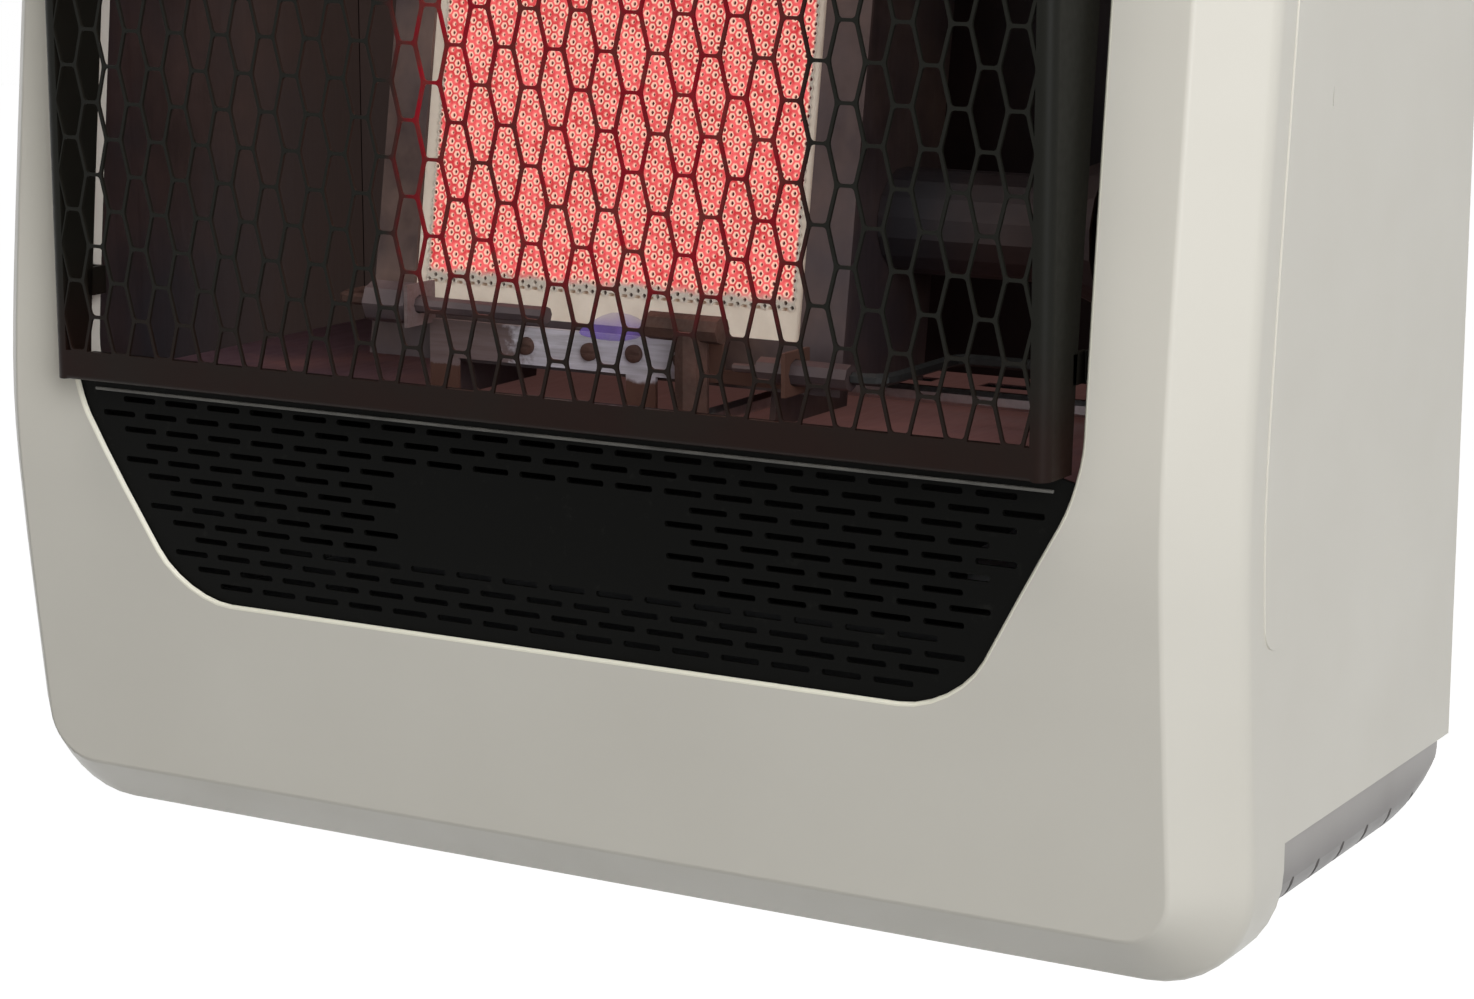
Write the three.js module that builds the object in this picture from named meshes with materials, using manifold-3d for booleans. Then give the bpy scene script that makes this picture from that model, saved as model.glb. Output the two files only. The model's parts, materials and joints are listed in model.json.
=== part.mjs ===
// A wall-hung ventless gas heater: a bowed enamelled front with a hexagon-net guard over a single
// ceramic burner plaque, a slotted lower grille, and the burner, pilot, valve and igniter inside.
// Millimetres. X runs to the right seen from the front, Y runs back to the wall, Z runs up.
// Heights are counted from the bottom edge of the front panel, depths from the wall.

import * as THREE from "three";
import { mergeGeometries, mergeVertices } from "three/addons/utils/BufferGeometryUtils.js";
import Module from "manifold-3d";

const wasm = await Module();
wasm.setup();

// Shared sizes
const sheet = 1;
const fitGap = 0.3;
const overrun = 4;

// Casing
const casingWidth = 336;
const casingHeight = 500;
const bendDepth = 150;
const bendHeight = 105;
const bendSpread = 21;
const upperLeanShare = 0.111;
const lowerLeanShare = 0.129;
const bevelInset = 13.5;
const bevelSetback = 14;
const creaseRadius = 12;
const seamDepth = 110;
const seamBreakHeight = 64;
const seamOverlap = 8;

// Raised bead on the front panel's side flanges
const beadHeight = 0.8;
const beadFrontMargin = 8;
const beadRearMargin = 5.5;
const beadBottom = 77;
const beadTopDrop = 76;
const beadEndRound = 8;

// Window of the front panel
const windowSideMargin = 32;
const windowSill = 61.3;
const windowSillInset = 30.2;
const windowShoulder = 114;
const windowTopDrop = 125;
const windowSillRound = 14;
const windowShoulderRound = 10;
const windowTopRound = 9;
const lipDepth = 10;
const lipBottom = 118;

// Guard
const guardStand = 10;
const guardSideGap = 3;
const guardThickness = 1.2;
const guardBendRadius = 3;
const guardBottom = 116;
const guardRail = 7.2;
const guardTopGap = 3.8;
const guardSideRail = 4;
const netColumns = 25;
const netRows = 9;
const netWire = 1.7;
const netFlatShare = 0.485;
const guardEntry = 2;
const guardHem = 7;
const tabHeight = 7;
const tabDepth = 6;
const tabReach = 1.7;
const tabLowerRise = 22;
const tabUpperDrop = 26.2;

// Lower grille
const grilleMargin = 8;
const grilleTop = 121;
const grilleNeckGap = 4.8;
const grilleNeckHeight = 115;
const grilleRows = 7;
const grilleRowPitch = 7.2;
const grilleFirstRow = 109.5;
const slotPitch = 12.9;
const slotLength = 9.8;
const slotHeight = 2.4;
const slotEdgeMargin = 5;

// Side panels, rear panel and wall bracket
const sideBottom = 30.5;
const sideReturn = 14;
const hookSlitHeight = 4.2;
const hookSlitWidth = 1.4;
const hookSlitSetback = 2.5;
const hookSlitLower = 192;
const hookSlitDrop = 120;
const rearRecess = 10;
const rearBottom = 42;
const rearNeckMargin = 30;
const bracketMargin = 58;
const bracketHeight = 40;
const bracketThickness = 1.5;
const bracketDrop = 80;
const hookHalf = 10;
const hookEndMargin = 35;
const hookRise = 13;
const bracketHoleRadius = 3;
const bracketHoleInset = 30;

// Base pan
const panTop = 40;
const panShoulder = 31.8;
const panInset = 2;
const panBottom = 16;
const panCurve = 11;
const panFront = 121.7;
const panCorner = 6;
const ventCount = 6;
const ventPitch = 15.5;
const ventFirst = 96;
const ventWidth = 3.6;
const ventLength = 13;
const ventTilt = 0.5;

// Top cover
const coverOverlap = 71;
const louvreRows = 4;
const louvreColumns = 4;
const louvreBridge = 8;
const louvreWidth = 6;
const louvrePitchY = 12.5;
const louvreRoom = 128;
const louvreMargin = 18;
const louvreRear = 18;

// Firebox liner
const linerBackDepth = 25;
const linerSideGap = 3.3;
const linerFloor = 112;
const linerTopDrop = 80;
const floorHoleColumns = 7;
const floorHoleMargin = 37.3;
const floorHoleBridge = 12;
const floorHoleWidth = 8;
const deflectorRearDrop = 28;
const deflectorFrontDrop = 6;
const deflectorReach = 92;

// Burner
const burnerLeanShare = 0.1623;
const plaqueFace = 121;
const plaqueFoot = 134;
const plaqueVisibleHalf = 53.2;
const plaqueVisibleHeight = 150;
const plaqueLap = 3;
const plaqueThickness = 13;
const gasketWidth = 2.4;
const frameBorder = 4.5;
const frameThickness = 1;
const boxDepth = 48;
const tubeBore = 11;
const tubeWall = 1.2;
const tubeEndGap = 23.3;
const tubeSetback = 30;
const tubeRise = 30;
const bellRadius = 18;
const bellLength = 16;
const legHalf = 44;
const legThickness = 1.5;
const legFront = 6;
const legRear = 40;
const armHalf = 10.5;
const armHeight = 14;
const armRise = 120;

// Orifice holder on the right liner
const orificeRadius = 7;
const orificeLength = 14;
const jetRadius = 3;
const jetLength = 6;
const jetBore = 0.8;
const holderPlate = 26;

// Pilot
const pilotPlateLeft = -45;
const pilotPlateRight = 36;
const pilotPlateBottom = 124;
const pilotPlateTop = 133;
const pilotPlateThickness = 1;
const pilotPlateDepth = 125.5;
const pilotFoot = 6;
const pilotLegWidth = 8;
const pilotLegRight = 18;
const pilotX = 31;
const pilotBodyRadius = 4;
const pilotHoodLeft = 20;
const pilotHoodRight = 39;
const pilotHoodRadius = 3.2;
const pilotHoodHeight = 137;
const earReach = 10;
const coupleNutRadius = 5;
const coupleNutLength = 12;
const coupleRadius = 2;
const coupleTip = -8;
const electrodeEar = 57;
const electrodeHeight = 129;
const electrodeRadius = 3;
const electrodeStrip = 3;
const electrodeLeft = 49;
const electrodeRight = 72;
const electrodeWire = 1;
const electrodeTip = 42;

// Gas valve, knob and igniter under the top cover
const controlMargin = 60;
const controlDepth = 36;
const valveHalf = 21;
const valveDepthHalf = 20;
const valveBottomDrop = 64;
const valveTopDrop = 30;
const shelfDrop = 22;
const shelfThickness = 1.2;
const shelfLeftReach = 20;
const shelfRightReach = 34;
const shelfFront = 62;
const shieldDrop = 76;
const neckRadius = 5;
const neckTopDrop = 16;
const bossRadius = 9;
const neckBore = 3.6;
const stemRadius = 3;
const stemFootDrop = 38;
const nutWall = 2.6;
const nutHeight = 3.5;
const nutSides = 6;
const collarRadius = 6.5;
const collarThickness = 2;
const springWire = 0.5;
const stemSpringRadius = 5;
const springTurns = 3;
const pushTravel = 3;
const knobRadius = 21;
const knobHeight = 18;
const knobSkirt = 5;
const knobGripHalf = 4;
const knobHoleRadius = 8;
const controlSpacing = 38;
const igniterRadius = 8.5;
const igniterFootDrop = 48;
const igniterNeck = 7;
const igniterRise = 4.5;
const buttonShaft = 5;
const buttonRadius = 6.5;
const buttonCap = 4;
const buttonTravel = 6;
const buttonFootDrop = 20;
const igniterBoreDrop = 40;
const igniterSpringTurns = 5;

// Regulator in the lower compartment
const regulatorMargin = 80;
const regulatorDepth = 52;
const regulatorRadius = 24;
const regulatorHeight = 14;
const regulatorFoot = 44;
const regulatorBodyHalf = 12;
const inletRadius = 7;
const inletBore = 4.5;
const inletFoot = 12;
const regulatorBracketHalf = 14;
const regulatorBracketThickness = 1.5;
const regulatorBracketFoot = 18;

// Tubes and leads
const channelInnerMargin = 21;
const channelMiddleMargin = 16;
const channelOuterMargin = 9.5;
const supplyRadius = 4;
const supplyBend = 9;
const burnerBend = 7.5;
const supplyPortDepth = 46;
const supplyPortRise = 17;
const burnerPortDepth = 26;
const burnerPortRise = 8;
const burnerLineDepth = 30;
const burnerLineDrop = 34;
const pilotLineRadius = 2;
const pilotLineDepth = 72;
const pilotPortOffset = 10;
const pilotPortRise = 5;
const leadRadius = 1.4;
const leadBend = 5;
const coupleLeadReach = 11;
const coupleLeadDepth = 64;
const couplePortOffset = 6;
const couplePortRise = 12;
const sparkLeadReach = 8;
const sparkLeadDepth = 96;
const sparkLeadDrop = 70;
const sparkLeadRun = 50;

// Facet counts
const arcSteps = 4;
const cornerSteps = 3;
const roundSides = 16;
const tubeSides = 8;
const leadSides = 6;
const bendShares = [-2.6, -1.3, -0.5, 0.5, 1.3, 2.6];

// Sizes worked out from the ones above
const casingHalf = casingWidth / 2;
const guardDepth = bendDepth + guardStand;
const beadTop = casingHeight - beadTopDrop;
const windowHalf = casingHalf - windowSideMargin;
const windowSillHalf = windowHalf - windowSillInset;
const windowTop = casingHeight - windowTopDrop;
const guardHalf = windowHalf - guardSideGap;
const netHalf = guardHalf - guardSideRail;
const grilleNeckHalf = windowHalf - grilleNeckGap;
const hookSlitUpper = casingHeight - hookSlitDrop;
const rearNeckHalf = casingHalf - rearNeckMargin;
const bracketHalf = casingHalf - bracketMargin;
const bracketMiddle = casingHeight - bracketDrop;
const hookSpacing = 2 * (bracketHalf - hookEndMargin);
const bracketHoleSpacing = hookSpacing - 2 * bracketHoleInset;
const louvrePitchX = (casingWidth - louvreRoom) / louvreColumns;
const louvreLength = louvrePitchX - louvreBridge;
const louvreLeft = louvreMargin - casingHalf;
const linerHalf = windowHalf + linerSideGap;
const linerTop = casingHeight - linerTopDrop;
const floorHolePitch = 2 * (linerHalf - floorHoleMargin) / (floorHoleColumns - 1);
const floorHoleLength = floorHolePitch - floorHoleBridge;
const deflectorRear = linerTop - deflectorRearDrop;
const deflectorFront = linerTop - deflectorFrontDrop;
const tubeEnd = linerHalf - tubeEndGap;
const controlX = casingHalf - controlMargin;
const valveBottom = casingHeight - valveBottomDrop;
const valveTop = casingHeight - valveTopDrop;
const shelfHeight = casingHeight - shelfDrop;
const shieldBottom = casingHeight - shieldDrop;
const neckTop = casingHeight - neckTopDrop;
const stemFoot = casingHeight - stemFootDrop;
const igniterX = controlX - controlSpacing;
const shelfLeft = igniterX - shelfLeftReach;
const shelfRight = controlX + shelfRightReach;
const igniterFoot = casingHeight - igniterFootDrop;
const buttonFoot = casingHeight - buttonFootDrop;
const igniterBoreFoot = casingHeight - igniterBoreDrop;
const regulatorX = casingHalf - regulatorMargin;
const channelInner = casingHalf - channelInnerMargin;
const channelMiddle = casingHalf - channelMiddleMargin;
const channelOuter = casingHalf - channelOuterMargin;
const supplyPortHeight = valveBottom + supplyPortRise;
const burnerPortHeight = valveBottom + burnerPortRise;
const pilotPortX = controlX - pilotPortOffset;
const pilotPortHeight = valveBottom + pilotPortRise;
const coupleLeadX = coupleNutLength + coupleLeadReach - pilotPlateLeft;
const couplePortX = controlX + couplePortOffset;
const couplePortHeight = valveBottom + couplePortRise;
const sparkLeadX = electrodeRight + sparkLeadReach;
const sparkLeadHeight = casingHeight - sparkLeadDrop;
const sideOuter = casingHalf - sheet - fitGap;
const sideInner = sideOuter - sheet;
const sideTop = casingHeight - sideBottom;
const coverTop = casingHeight - sheet - fitGap;
const coverUnder = coverTop - sheet;
const coverRadius = creaseRadius + bevelInset - sheet - fitGap;
const netBottom = guardBottom + guardRail;
const guardTop = windowTop - guardTopGap;
const netTop = guardTop - guardRail;
const tabLowerHeight = guardBottom + tabLowerRise;
const tabUpperHeight = guardTop - tabUpperDrop;
const guardBack = guardDepth - guardThickness;
const profileLevels = bendShares.map((share) => bendHeight + share * bendSpread).concat(seamBreakHeight)
  .sort((low, high) => low - high);
const burnerLean = Math.atan(burnerLeanShare);
const plaqueHalf = plaqueVisibleHalf + plaqueLap;
const boxHalf = plaqueHalf + gasketWidth + 2 * fitGap + sheet;
const boxBottom = plaqueVisibleHalf - boxHalf;
const boxTop = plaqueVisibleHeight - boxBottom;
const knobFoot = coverTop + pushTravel + 2 * fitGap;
const knobTop = knobFoot + knobHeight;
const igniterTop = coverTop + igniterRise;
const capFoot = igniterTop + buttonTravel + 2 * fitGap;

// Depth of the bowed front face at a height: two leaning planes joined by a soft bend
function frontDepth(z) {
  const rise = z - bendHeight;
  const away = Math.hypot(rise, bendSpread) - bendSpread;
  const leanAway = ((upperLeanShare + lowerLeanShare) * away) / 2;
  return bendDepth - leanAway - ((upperLeanShare - lowerLeanShare) * rise) / 2;
}

// Y of the front panel's rear edge at a height
function seamAt(z) {
  return -seamDepth + upperLeanShare * Math.max(0, z - seamBreakHeight);
}

// Geometry helpers

function toSolid(geometry) {
  const bare = geometry.clone();
  bare.deleteAttribute("normal");
  bare.deleteAttribute("uv");
  const merged = mergeVertices(bare);
  const triangles = [];
  for (let i = 0; i < merged.index.count; i += 3) {
    const [a, b, c] = [0, 1, 2].map((k) => merged.index.getX(i + k));
    if (a !== b && b !== c && c !== a) {
      triangles.push(a, b, c);
    }
  }
  return new wasm.Manifold(new wasm.Mesh({
    numProp: 3,
    vertProperties: merged.attributes.position.array,
    triVerts: new Uint32Array(triangles),
  }));
}

function toGeometry(solid) {
  const mesh = solid.getMesh();
  const geometry = new THREE.BufferGeometry();
  geometry.setAttribute("position", new THREE.BufferAttribute(mesh.vertProperties, 3));
  geometry.setIndex(new THREE.BufferAttribute(mesh.triVerts, 1));
  return geometry;
}

function joined(...geometries) {
  return toGeometry(geometries.map(toSolid).reduce((whole, part) => whole.add(part)));
}

function cut(geometry, ...cutters) {
  return toGeometry(cutters.map(toSolid).reduce((whole, part) => whole.subtract(part), toSolid(geometry)));
}

function shared(geometry, other) {
  return toGeometry(toSolid(geometry).intersect(toSolid(other)));
}

function box(left, right, front, back, low, high) {
  const geometry = new THREE.BoxGeometry(right - left, back - front, high - low);
  geometry.translate((left + right) / 2, (front + back) / 2, (low + high) / 2);
  return geometry;
}

function outline(points) {
  return new THREE.Shape(points.map(([x, y]) => new THREE.Vector2(x, y)));
}

// A point on the way from one outline corner towards another
function towards(corner, other, distance) {
  return corner.clone().add(other.clone().sub(corner).setLength(distance));
}

// How far the handles of a curve reach towards its corner, for a fillet close to a circle's arc
function filletShare(before, corner, after) {
  const turn = Math.PI - before.clone().sub(corner).angleTo(after.clone().sub(corner));
  return (4 * Math.tan(turn / 4)) / (3 * Math.tan(turn / 2));
}

// A closed outline whose corners, given as [x, y, round], are rounded off
function roundedOutline(corners) {
  const shape = new THREE.Shape();
  const points = corners.map(([x, y]) => new THREE.Vector2(x, y));
  points.forEach((corner, i) => {
    const round = corners[i][2];
    const start = towards(corner, points.at(i - 1), round);
    if (i === 0) {
      shape.moveTo(start.x, start.y);
    } else {
      shape.lineTo(start.x, start.y);
    }
    if (round > 0) {
      const after = points[(i + 1) % points.length];
      const end = towards(corner, after, round);
      const share = filletShare(points.at(i - 1), corner, after);
      const first = start.clone().lerp(corner, share);
      const second = end.clone().lerp(corner, share);
      shape.bezierCurveTo(first.x, first.y, second.x, second.y, end.x, end.y);
    }
  });
  return shape;
}

// An outline's right side followed by its mirror image
function mirrored(corners) {
  return corners.concat(corners.map(([x, y, round]) => [-x, y, round]).reverse());
}

function extruded(shape, depth) {
  return new THREE.ExtrudeGeometry(shape, { depth, bevelEnabled: false, curveSegments: arcSteps });
}

const alongXBasis = new THREE.Matrix4().makeBasis(
  new THREE.Vector3(0, 1, 0), new THREE.Vector3(0, 0, 1), new THREE.Vector3(1, 0, 0));
const alongYBasis = new THREE.Matrix4().makeBasis(
  new THREE.Vector3(1, 0, 0), new THREE.Vector3(0, 0, 1), new THREE.Vector3(0, -1, 0));

// An outline in Y and Z, extruded from left to right
function alongX(shape, left, right) {
  return extruded(shape, right - left).applyMatrix4(alongXBasis).translate(left, 0, 0);
}

// An outline in X and Z, extruded from front to back
function alongY(shape, front, back) {
  return extruded(shape, back - front).applyMatrix4(alongYBasis).translate(0, back, 0);
}

// An outline in X and Y, extruded upwards
function alongZ(shape, low, high) {
  return extruded(shape, high - low).translate(0, 0, low);
}

// A turned piece standing on Z, from a profile of [radius, height] that closes on the axis or on itself
function turned(profile, sides = roundSides) {
  const points = profile.map(([radius, height]) => new THREE.Vector2(radius, height));
  return new THREE.LatheGeometry(points, sides).rotateX(Math.PI / 2);
}

function rod(radius, low, high, sides = roundSides) {
  return turned([[0, low], [radius, low], [radius, high], [0, high]], sides);
}

function ring(inner, outer, low, high, sides = roundSides) {
  return turned([[inner, low], [outer, low], [outer, high], [inner, high], [inner, low]], sides);
}

// Turns a piece that stands on Z so that it runs along X or along Y
function layAlongX(geometry) {
  return geometry.rotateY(Math.PI / 2);
}

function layAlongY(geometry) {
  return geometry.rotateX(-Math.PI / 2);
}

// A path through given points, with one step of an extrusion for each of them
class StepPath extends THREE.Curve {
  constructor(points) {
    super();
    this.points = points;
  }

  getUtoTmapping(u) {
    return u;
  }

  getPoint(t) {
    const place = t * (this.points.length - 1);
    const index = Math.min(Math.floor(place), this.points.length - 2);
    return this.points[index].clone().lerp(this.points[index + 1], place - index);
  }

  getTangent(t) {
    const index = Math.round(t * (this.points.length - 1));
    const point = this.points[index];
    const before = this.points[Math.max(index - 1, 0)];
    const after = this.points[Math.min(index + 1, this.points.length - 1)];
    const into = point.clone().sub(before).normalize();
    return after.clone().sub(point).normalize().add(into).normalize();
  }
}

// Straight runs joined by soft bends
function bentPath(points, bend) {
  const path = [points[0]];
  points.slice(1, -1).forEach((corner, i) => {
    const start = towards(corner, points[i], bend);
    const end = towards(corner, points[i + 2], bend);
    path.push(...new THREE.QuadraticBezierCurve3(start, corner, end).getPoints(cornerSteps));
  });
  path.push(points.at(-1));
  return new StepPath(path);
}

function tubeAlong(path, radius, sides) {
  const section = new THREE.Shape();
  section.absarc(0, 0, radius, 0, 2 * Math.PI);
  return new THREE.ExtrudeGeometry(section, { steps: path.points.length - 1, extrudePath: path,
    bevelEnabled: false, curveSegments: sides / 2 });
}

const at = (x, y, z) => new THREE.Vector3(x, y, z);

function finish(color, roughness, metalness) {
  return new THREE.MeshStandardMaterial({ color, roughness, metalness });
}

const enamel = () => finish(0xd9d6cd, 0.38, 0);
const guardFinish = () => finish(0x26261f, 0.4, 0.6);
const blackPaint = () => finish(0x141414, 0.55, 0.1);
const galvanised = () => finish(0x9a9c9c, 0.45, 0.9);
const aluminisedSteel = () => finish(0xa7a39b, 0.4, 0.9);
const heatedSteel = () => finish(0x4a2f2a, 0.5, 0.8);
const ceramic = () => finish(0xf0c8b8, 0.9, 0);
const fibre = () => finish(0xe6e2d8, 0.95, 0);
const castAluminium = () => finish(0xb4b6b8, 0.45, 0.9);
const brass = () => finish(0xc09a4a, 0.35, 1);
const blackPlastic = () => finish(0x18181a, 0.5, 0);
const springSteel = () => finish(0x8d9094, 0.35, 1);
const porcelain = () => finish(0xeeeae0, 0.3, 0);

const heater = new THREE.Group();
heater.position.z = -bracketMiddle;

function addPiece(parent, name, geometry, material) {
  const mesh = new THREE.Mesh(geometry, material);
  mesh.name = name;
  parent.add(mesh);
  return mesh;
}

// Front panel

// The right upper corner of an upright outline, from its side to its top
function upperCorner(half, high, round) {
  return Array.from({ length: cornerSteps + 1 }, (_, i) => {
    const turn = (Math.PI / 2) * (i / cornerSteps);
    return [half - round * (1 - Math.cos(turn)), high - round * (1 - Math.sin(turn))];
  });
}

// The right side of a rounded upright outline, from bottom to top
function outlineSide(half, low, high, round) {
  return [
    ...upperCorner(half, -low, round).map(([x, z]) => [x, -z]).reverse(),
    ...profileLevels.map((z) => [half, z]),
    ...upperCorner(half, high, round),
  ];
}

// Both sides of an outline as one loop, with Y from a function of height
function loopOf(side, depthAt) {
  const right = side.map(([x, z]) => at(x, depthAt(z), z));
  const left = side.map(([x, z]) => at(-x, depthAt(z), z)).reverse();
  return right.concat(left);
}

// A closed solid through loops with equal counts, from front to back, capped rung by rung
function loft(loops) {
  const count = loops[0].length;
  const last = (loops.length - 1) * count;
  const faces = [];
  for (let r = 0; r < last; r += count) {
    for (let i = 0; i < count; i += 1) {
      const j = (i + 1) % count;
      faces.push(r + i, r + count + i, r + count + j, r + i, r + count + j, r + j);
    }
  }
  for (let i = 0; i < count / 2 - 1; i += 1) {
    const mate = count - 1 - i;
    faces.push(i, i + 1, mate - 1, i, mate - 1, mate);
    faces.push(last + i, last + mate - 1, last + i + 1, last + i, last + mate, last + mate - 1);
  }
  const geometry = new THREE.BufferGeometry();
  geometry.setFromPoints(loops.flat());
  geometry.setIndex(faces);
  return geometry;
}

// A block with the bowed and bevelled front, its front face set back by skin
function bowedBlock(half, low, high, skin, backAt) {
  const round = creaseRadius + half - casingHalf;
  const crease = outlineSide(half - bevelInset, low + bevelInset, high - bevelInset, round);
  const rim = outlineSide(half, low, high, round + bevelInset);
  const face = (z) => skin - frontDepth(z);
  return loft([
    loopOf(crease, face),
    loopOf(rim, (z) => face(z) + bevelSetback),
    loopOf(rim, backAt),
  ]);
}

// Everything behind the front face set back by skin, spread past the casing's outline where it cuts
function skinLayer(skin, spread = 0) {
  return bowedBlock(casingHalf + spread, -spread, casingHeight + spread, skin, () => 0);
}

function windowCorners(grow) {
  return mirrored([
    [windowSillHalf + grow, windowSill - grow, windowSillRound],
    [windowHalf + grow, windowShoulder, windowShoulderRound],
    [windowHalf + grow, windowTop + grow, windowTopRound],
  ]);
}

// The window's return flange, down the sides and across the top
function windowLip() {
  const outside = roundedOutline(mirrored([
    [windowHalf + sheet, lipBottom, 0],
    [windowHalf + sheet, windowTop + sheet, windowTopRound],
  ]));
  return shared(
    cut(skinLayer(0), skinLayer(lipDepth, 2 * overrun)),
    alongY(outside, -guardDepth, -lipDepth),
  );
}

function sideBead(side) {
  const front = (z) => bevelSetback + beadFrontMargin - frontDepth(z);
  const rear = (z) => seamAt(z) - beadRearMargin;
  const heights = profileLevels.filter((z) => z > beadBottom + beadEndRound);
  const shape = new THREE.Shape();
  const middle = (z) => (front(z) + rear(z)) / 2;
  shape.moveTo(rear(beadTop), beadTop - beadEndRound);
  shape.quadraticCurveTo(rear(beadTop), beadTop, middle(beadTop), beadTop);
  shape.quadraticCurveTo(front(beadTop), beadTop, front(beadTop), beadTop - beadEndRound);
  heights.reverse().forEach((z) => {
    shape.lineTo(front(z), z);
  });
  shape.lineTo(front(beadBottom), beadBottom + beadEndRound);
  shape.quadraticCurveTo(front(beadBottom), beadBottom, middle(beadBottom), beadBottom);
  shape.quadraticCurveTo(rear(beadBottom), beadBottom, rear(beadBottom), beadBottom + beadEndRound);
  const reach = casingHalf + beadHeight;
  const root = casingHalf - sheet / 2;
  return side > 0 ? alongX(shape, root, reach) : alongX(shape, -reach, -root);
}

// Y of the plane of a guard tab at its height
function tabFace(height) {
  return tabDepth - frontDepth(height);
}

function tabSlot(side, height) {
  const middle = tabFace(height) + guardThickness / 2;
  const half = guardThickness / 2 + 2 * fitGap;
  const x = side * (windowHalf + sheet / 2);
  return box(x - overrun / 2, x + overrun / 2, middle - half, middle + half,
    height - tabHeight / 2 - fitGap, height + tabHeight / 2 + fitGap);
}

function frontPanel() {
  const outer = bowedBlock(casingHalf, 0, casingHeight, 0, seamAt);
  const inner = bowedBlock(casingHalf - sheet, sheet, casingHeight - sheet, sheet,
    (z) => seamAt(z) + overrun);
  const windowCut = alongY(roundedOutline(windowCorners(0)), -guardDepth, -lipDepth);
  const shell = joined(cut(outer, inner), windowLip(), sideBead(1), sideBead(-1));
  const slots = [tabLowerHeight, tabUpperHeight]
    .flatMap((height) => [tabSlot(1, height), tabSlot(-1, height)]);
  return cut(shell, windowCut, ...slots);
}

// Guard: one perforated sheet folded back on all four sides, its front and its folds as separate pieces

// The cutter for one gap of the net, or for its upper or lower half
function hexCutter(x, z, half, pitch, hasTop, hasBottom) {
  const flat = (netFlatShare * half) / 2;
  const wide = half - flat;
  const rise = pitch / 2;
  const slope = Math.hypot(wide - flat, rise);
  const inset = netWire / 2;
  const side = wide - (inset * slope) / rise;
  const end = flat + (inset / rise) * (wide - flat - slope);
  const top = hasTop ? [[end, rise - inset], [-end, rise - inset]] : [];
  const bottom = hasBottom ? [[-end, inset - rise], [end, inset - rise]] : [];
  const points = [[side, 0], ...top, [-side, 0], ...bottom];
  return alongY(outline(points), -guardDepth - overrun, -seamDepth).translate(x, 0, z);
}

function guardMesh() {
  const edge = guardHalf - guardBendRadius - fitGap;
  const gaps = [];
  const half = (2 * netHalf) / (netColumns + 1 - netFlatShare);
  const pitch = (netTop - netBottom) / netRows;
  for (let column = 0; column < netColumns; column += 1) {
    const x = (column - (netColumns - 1) / 2) * half;
    if (column % 2 === 0) {
      for (let row = 0; row < netRows; row += 1) {
        gaps.push(hexCutter(x, netBottom + (row + 1 / 2) * pitch, half, pitch, true, true));
      }
    } else {
      gaps.push(hexCutter(x, netBottom, half, pitch, true, false));
      for (let row = 1; row < netRows; row += 1) {
        gaps.push(hexCutter(x, netBottom + row * pitch, half, pitch, true, true));
      }
      gaps.push(hexCutter(x, netTop, half, pitch, false, true));
    }
  }
  return cut(box(-edge, edge, -guardDepth, -guardBack, guardBottom, guardTop), mergeGeometries(gaps));
}

function guardTab(side, height) {
  const face = tabFace(height);
  const inner = guardHalf - guardThickness;
  const tip = windowHalf + sheet + tabReach;
  const low = height - tabHeight / 2;
  const high = height + tabHeight / 2;
  const arm = side > 0 ? [inner, guardHalf] : [-guardHalf, -inner];
  const blade = side > 0 ? [inner, tip] : [-tip, -inner];
  return [
    box(arm[0], arm[1], face - tabDepth, face + guardThickness, low, high),
    box(blade[0], blade[1], face, face + guardThickness, low, high),
  ];
}

// A side fold of the guard: a soft bend, then a wall that runs back into the window
function guardReturn(side) {
  const inner = guardHalf - guardThickness;
  const bendStart = guardHalf - guardBendRadius;
  const plan = new THREE.Shape();
  plan.moveTo(side * bendStart, -guardDepth);
  plan.quadraticCurveTo(side * guardHalf, -guardDepth, side * guardHalf, guardBendRadius - guardDepth);
  plan.lineTo(side * guardHalf, -seamDepth);
  plan.lineTo(side * inner, -seamDepth);
  plan.lineTo(side * inner, guardBendRadius - guardDepth);
  plan.quadraticCurveTo(side * inner, -guardBack, side * bendStart, -guardBack);
  const rear = (z) => guardEntry - frontDepth(z);
  const levels = profileLevels.filter((z) => z > guardBottom);
  const heights = [guardBottom - overrun, ...levels, guardTop + overrun];
  const behind = outline([
    ...heights.map((z) => [rear(z), z]),
    [overrun - seamDepth, guardTop + overrun],
    [overrun - seamDepth, guardBottom - overrun],
  ]);
  const wall = cut(alongZ(plan, guardBottom, guardTop), alongX(behind, -casingHalf, casingHalf));
  return joined(wall, ...[tabLowerHeight, tabUpperHeight].flatMap((height) => guardTab(side, height)));
}

// A fold that runs back from the net's upper or lower edge, between the side folds
function guardFold(rear, low) {
  const half = guardHalf - guardThickness - fitGap;
  const front = fitGap - guardBack;
  const clipped = guardBendRadius - guardThickness;
  return alongZ(outline(mirrored([
    [half - clipped, front],
    [half, front + clipped],
    [half, rear],
  ])), low, low + guardThickness);
}

function guardTopReturn() {
  return guardFold(guardEntry - frontDepth(guardTop), guardTop - guardThickness);
}

function guardHemStrip() {
  return guardFold(guardHem - guardBack, guardBottom);
}

// Lower grille: a bowed plate behind the lower part of the window, with staggered slots

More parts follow.
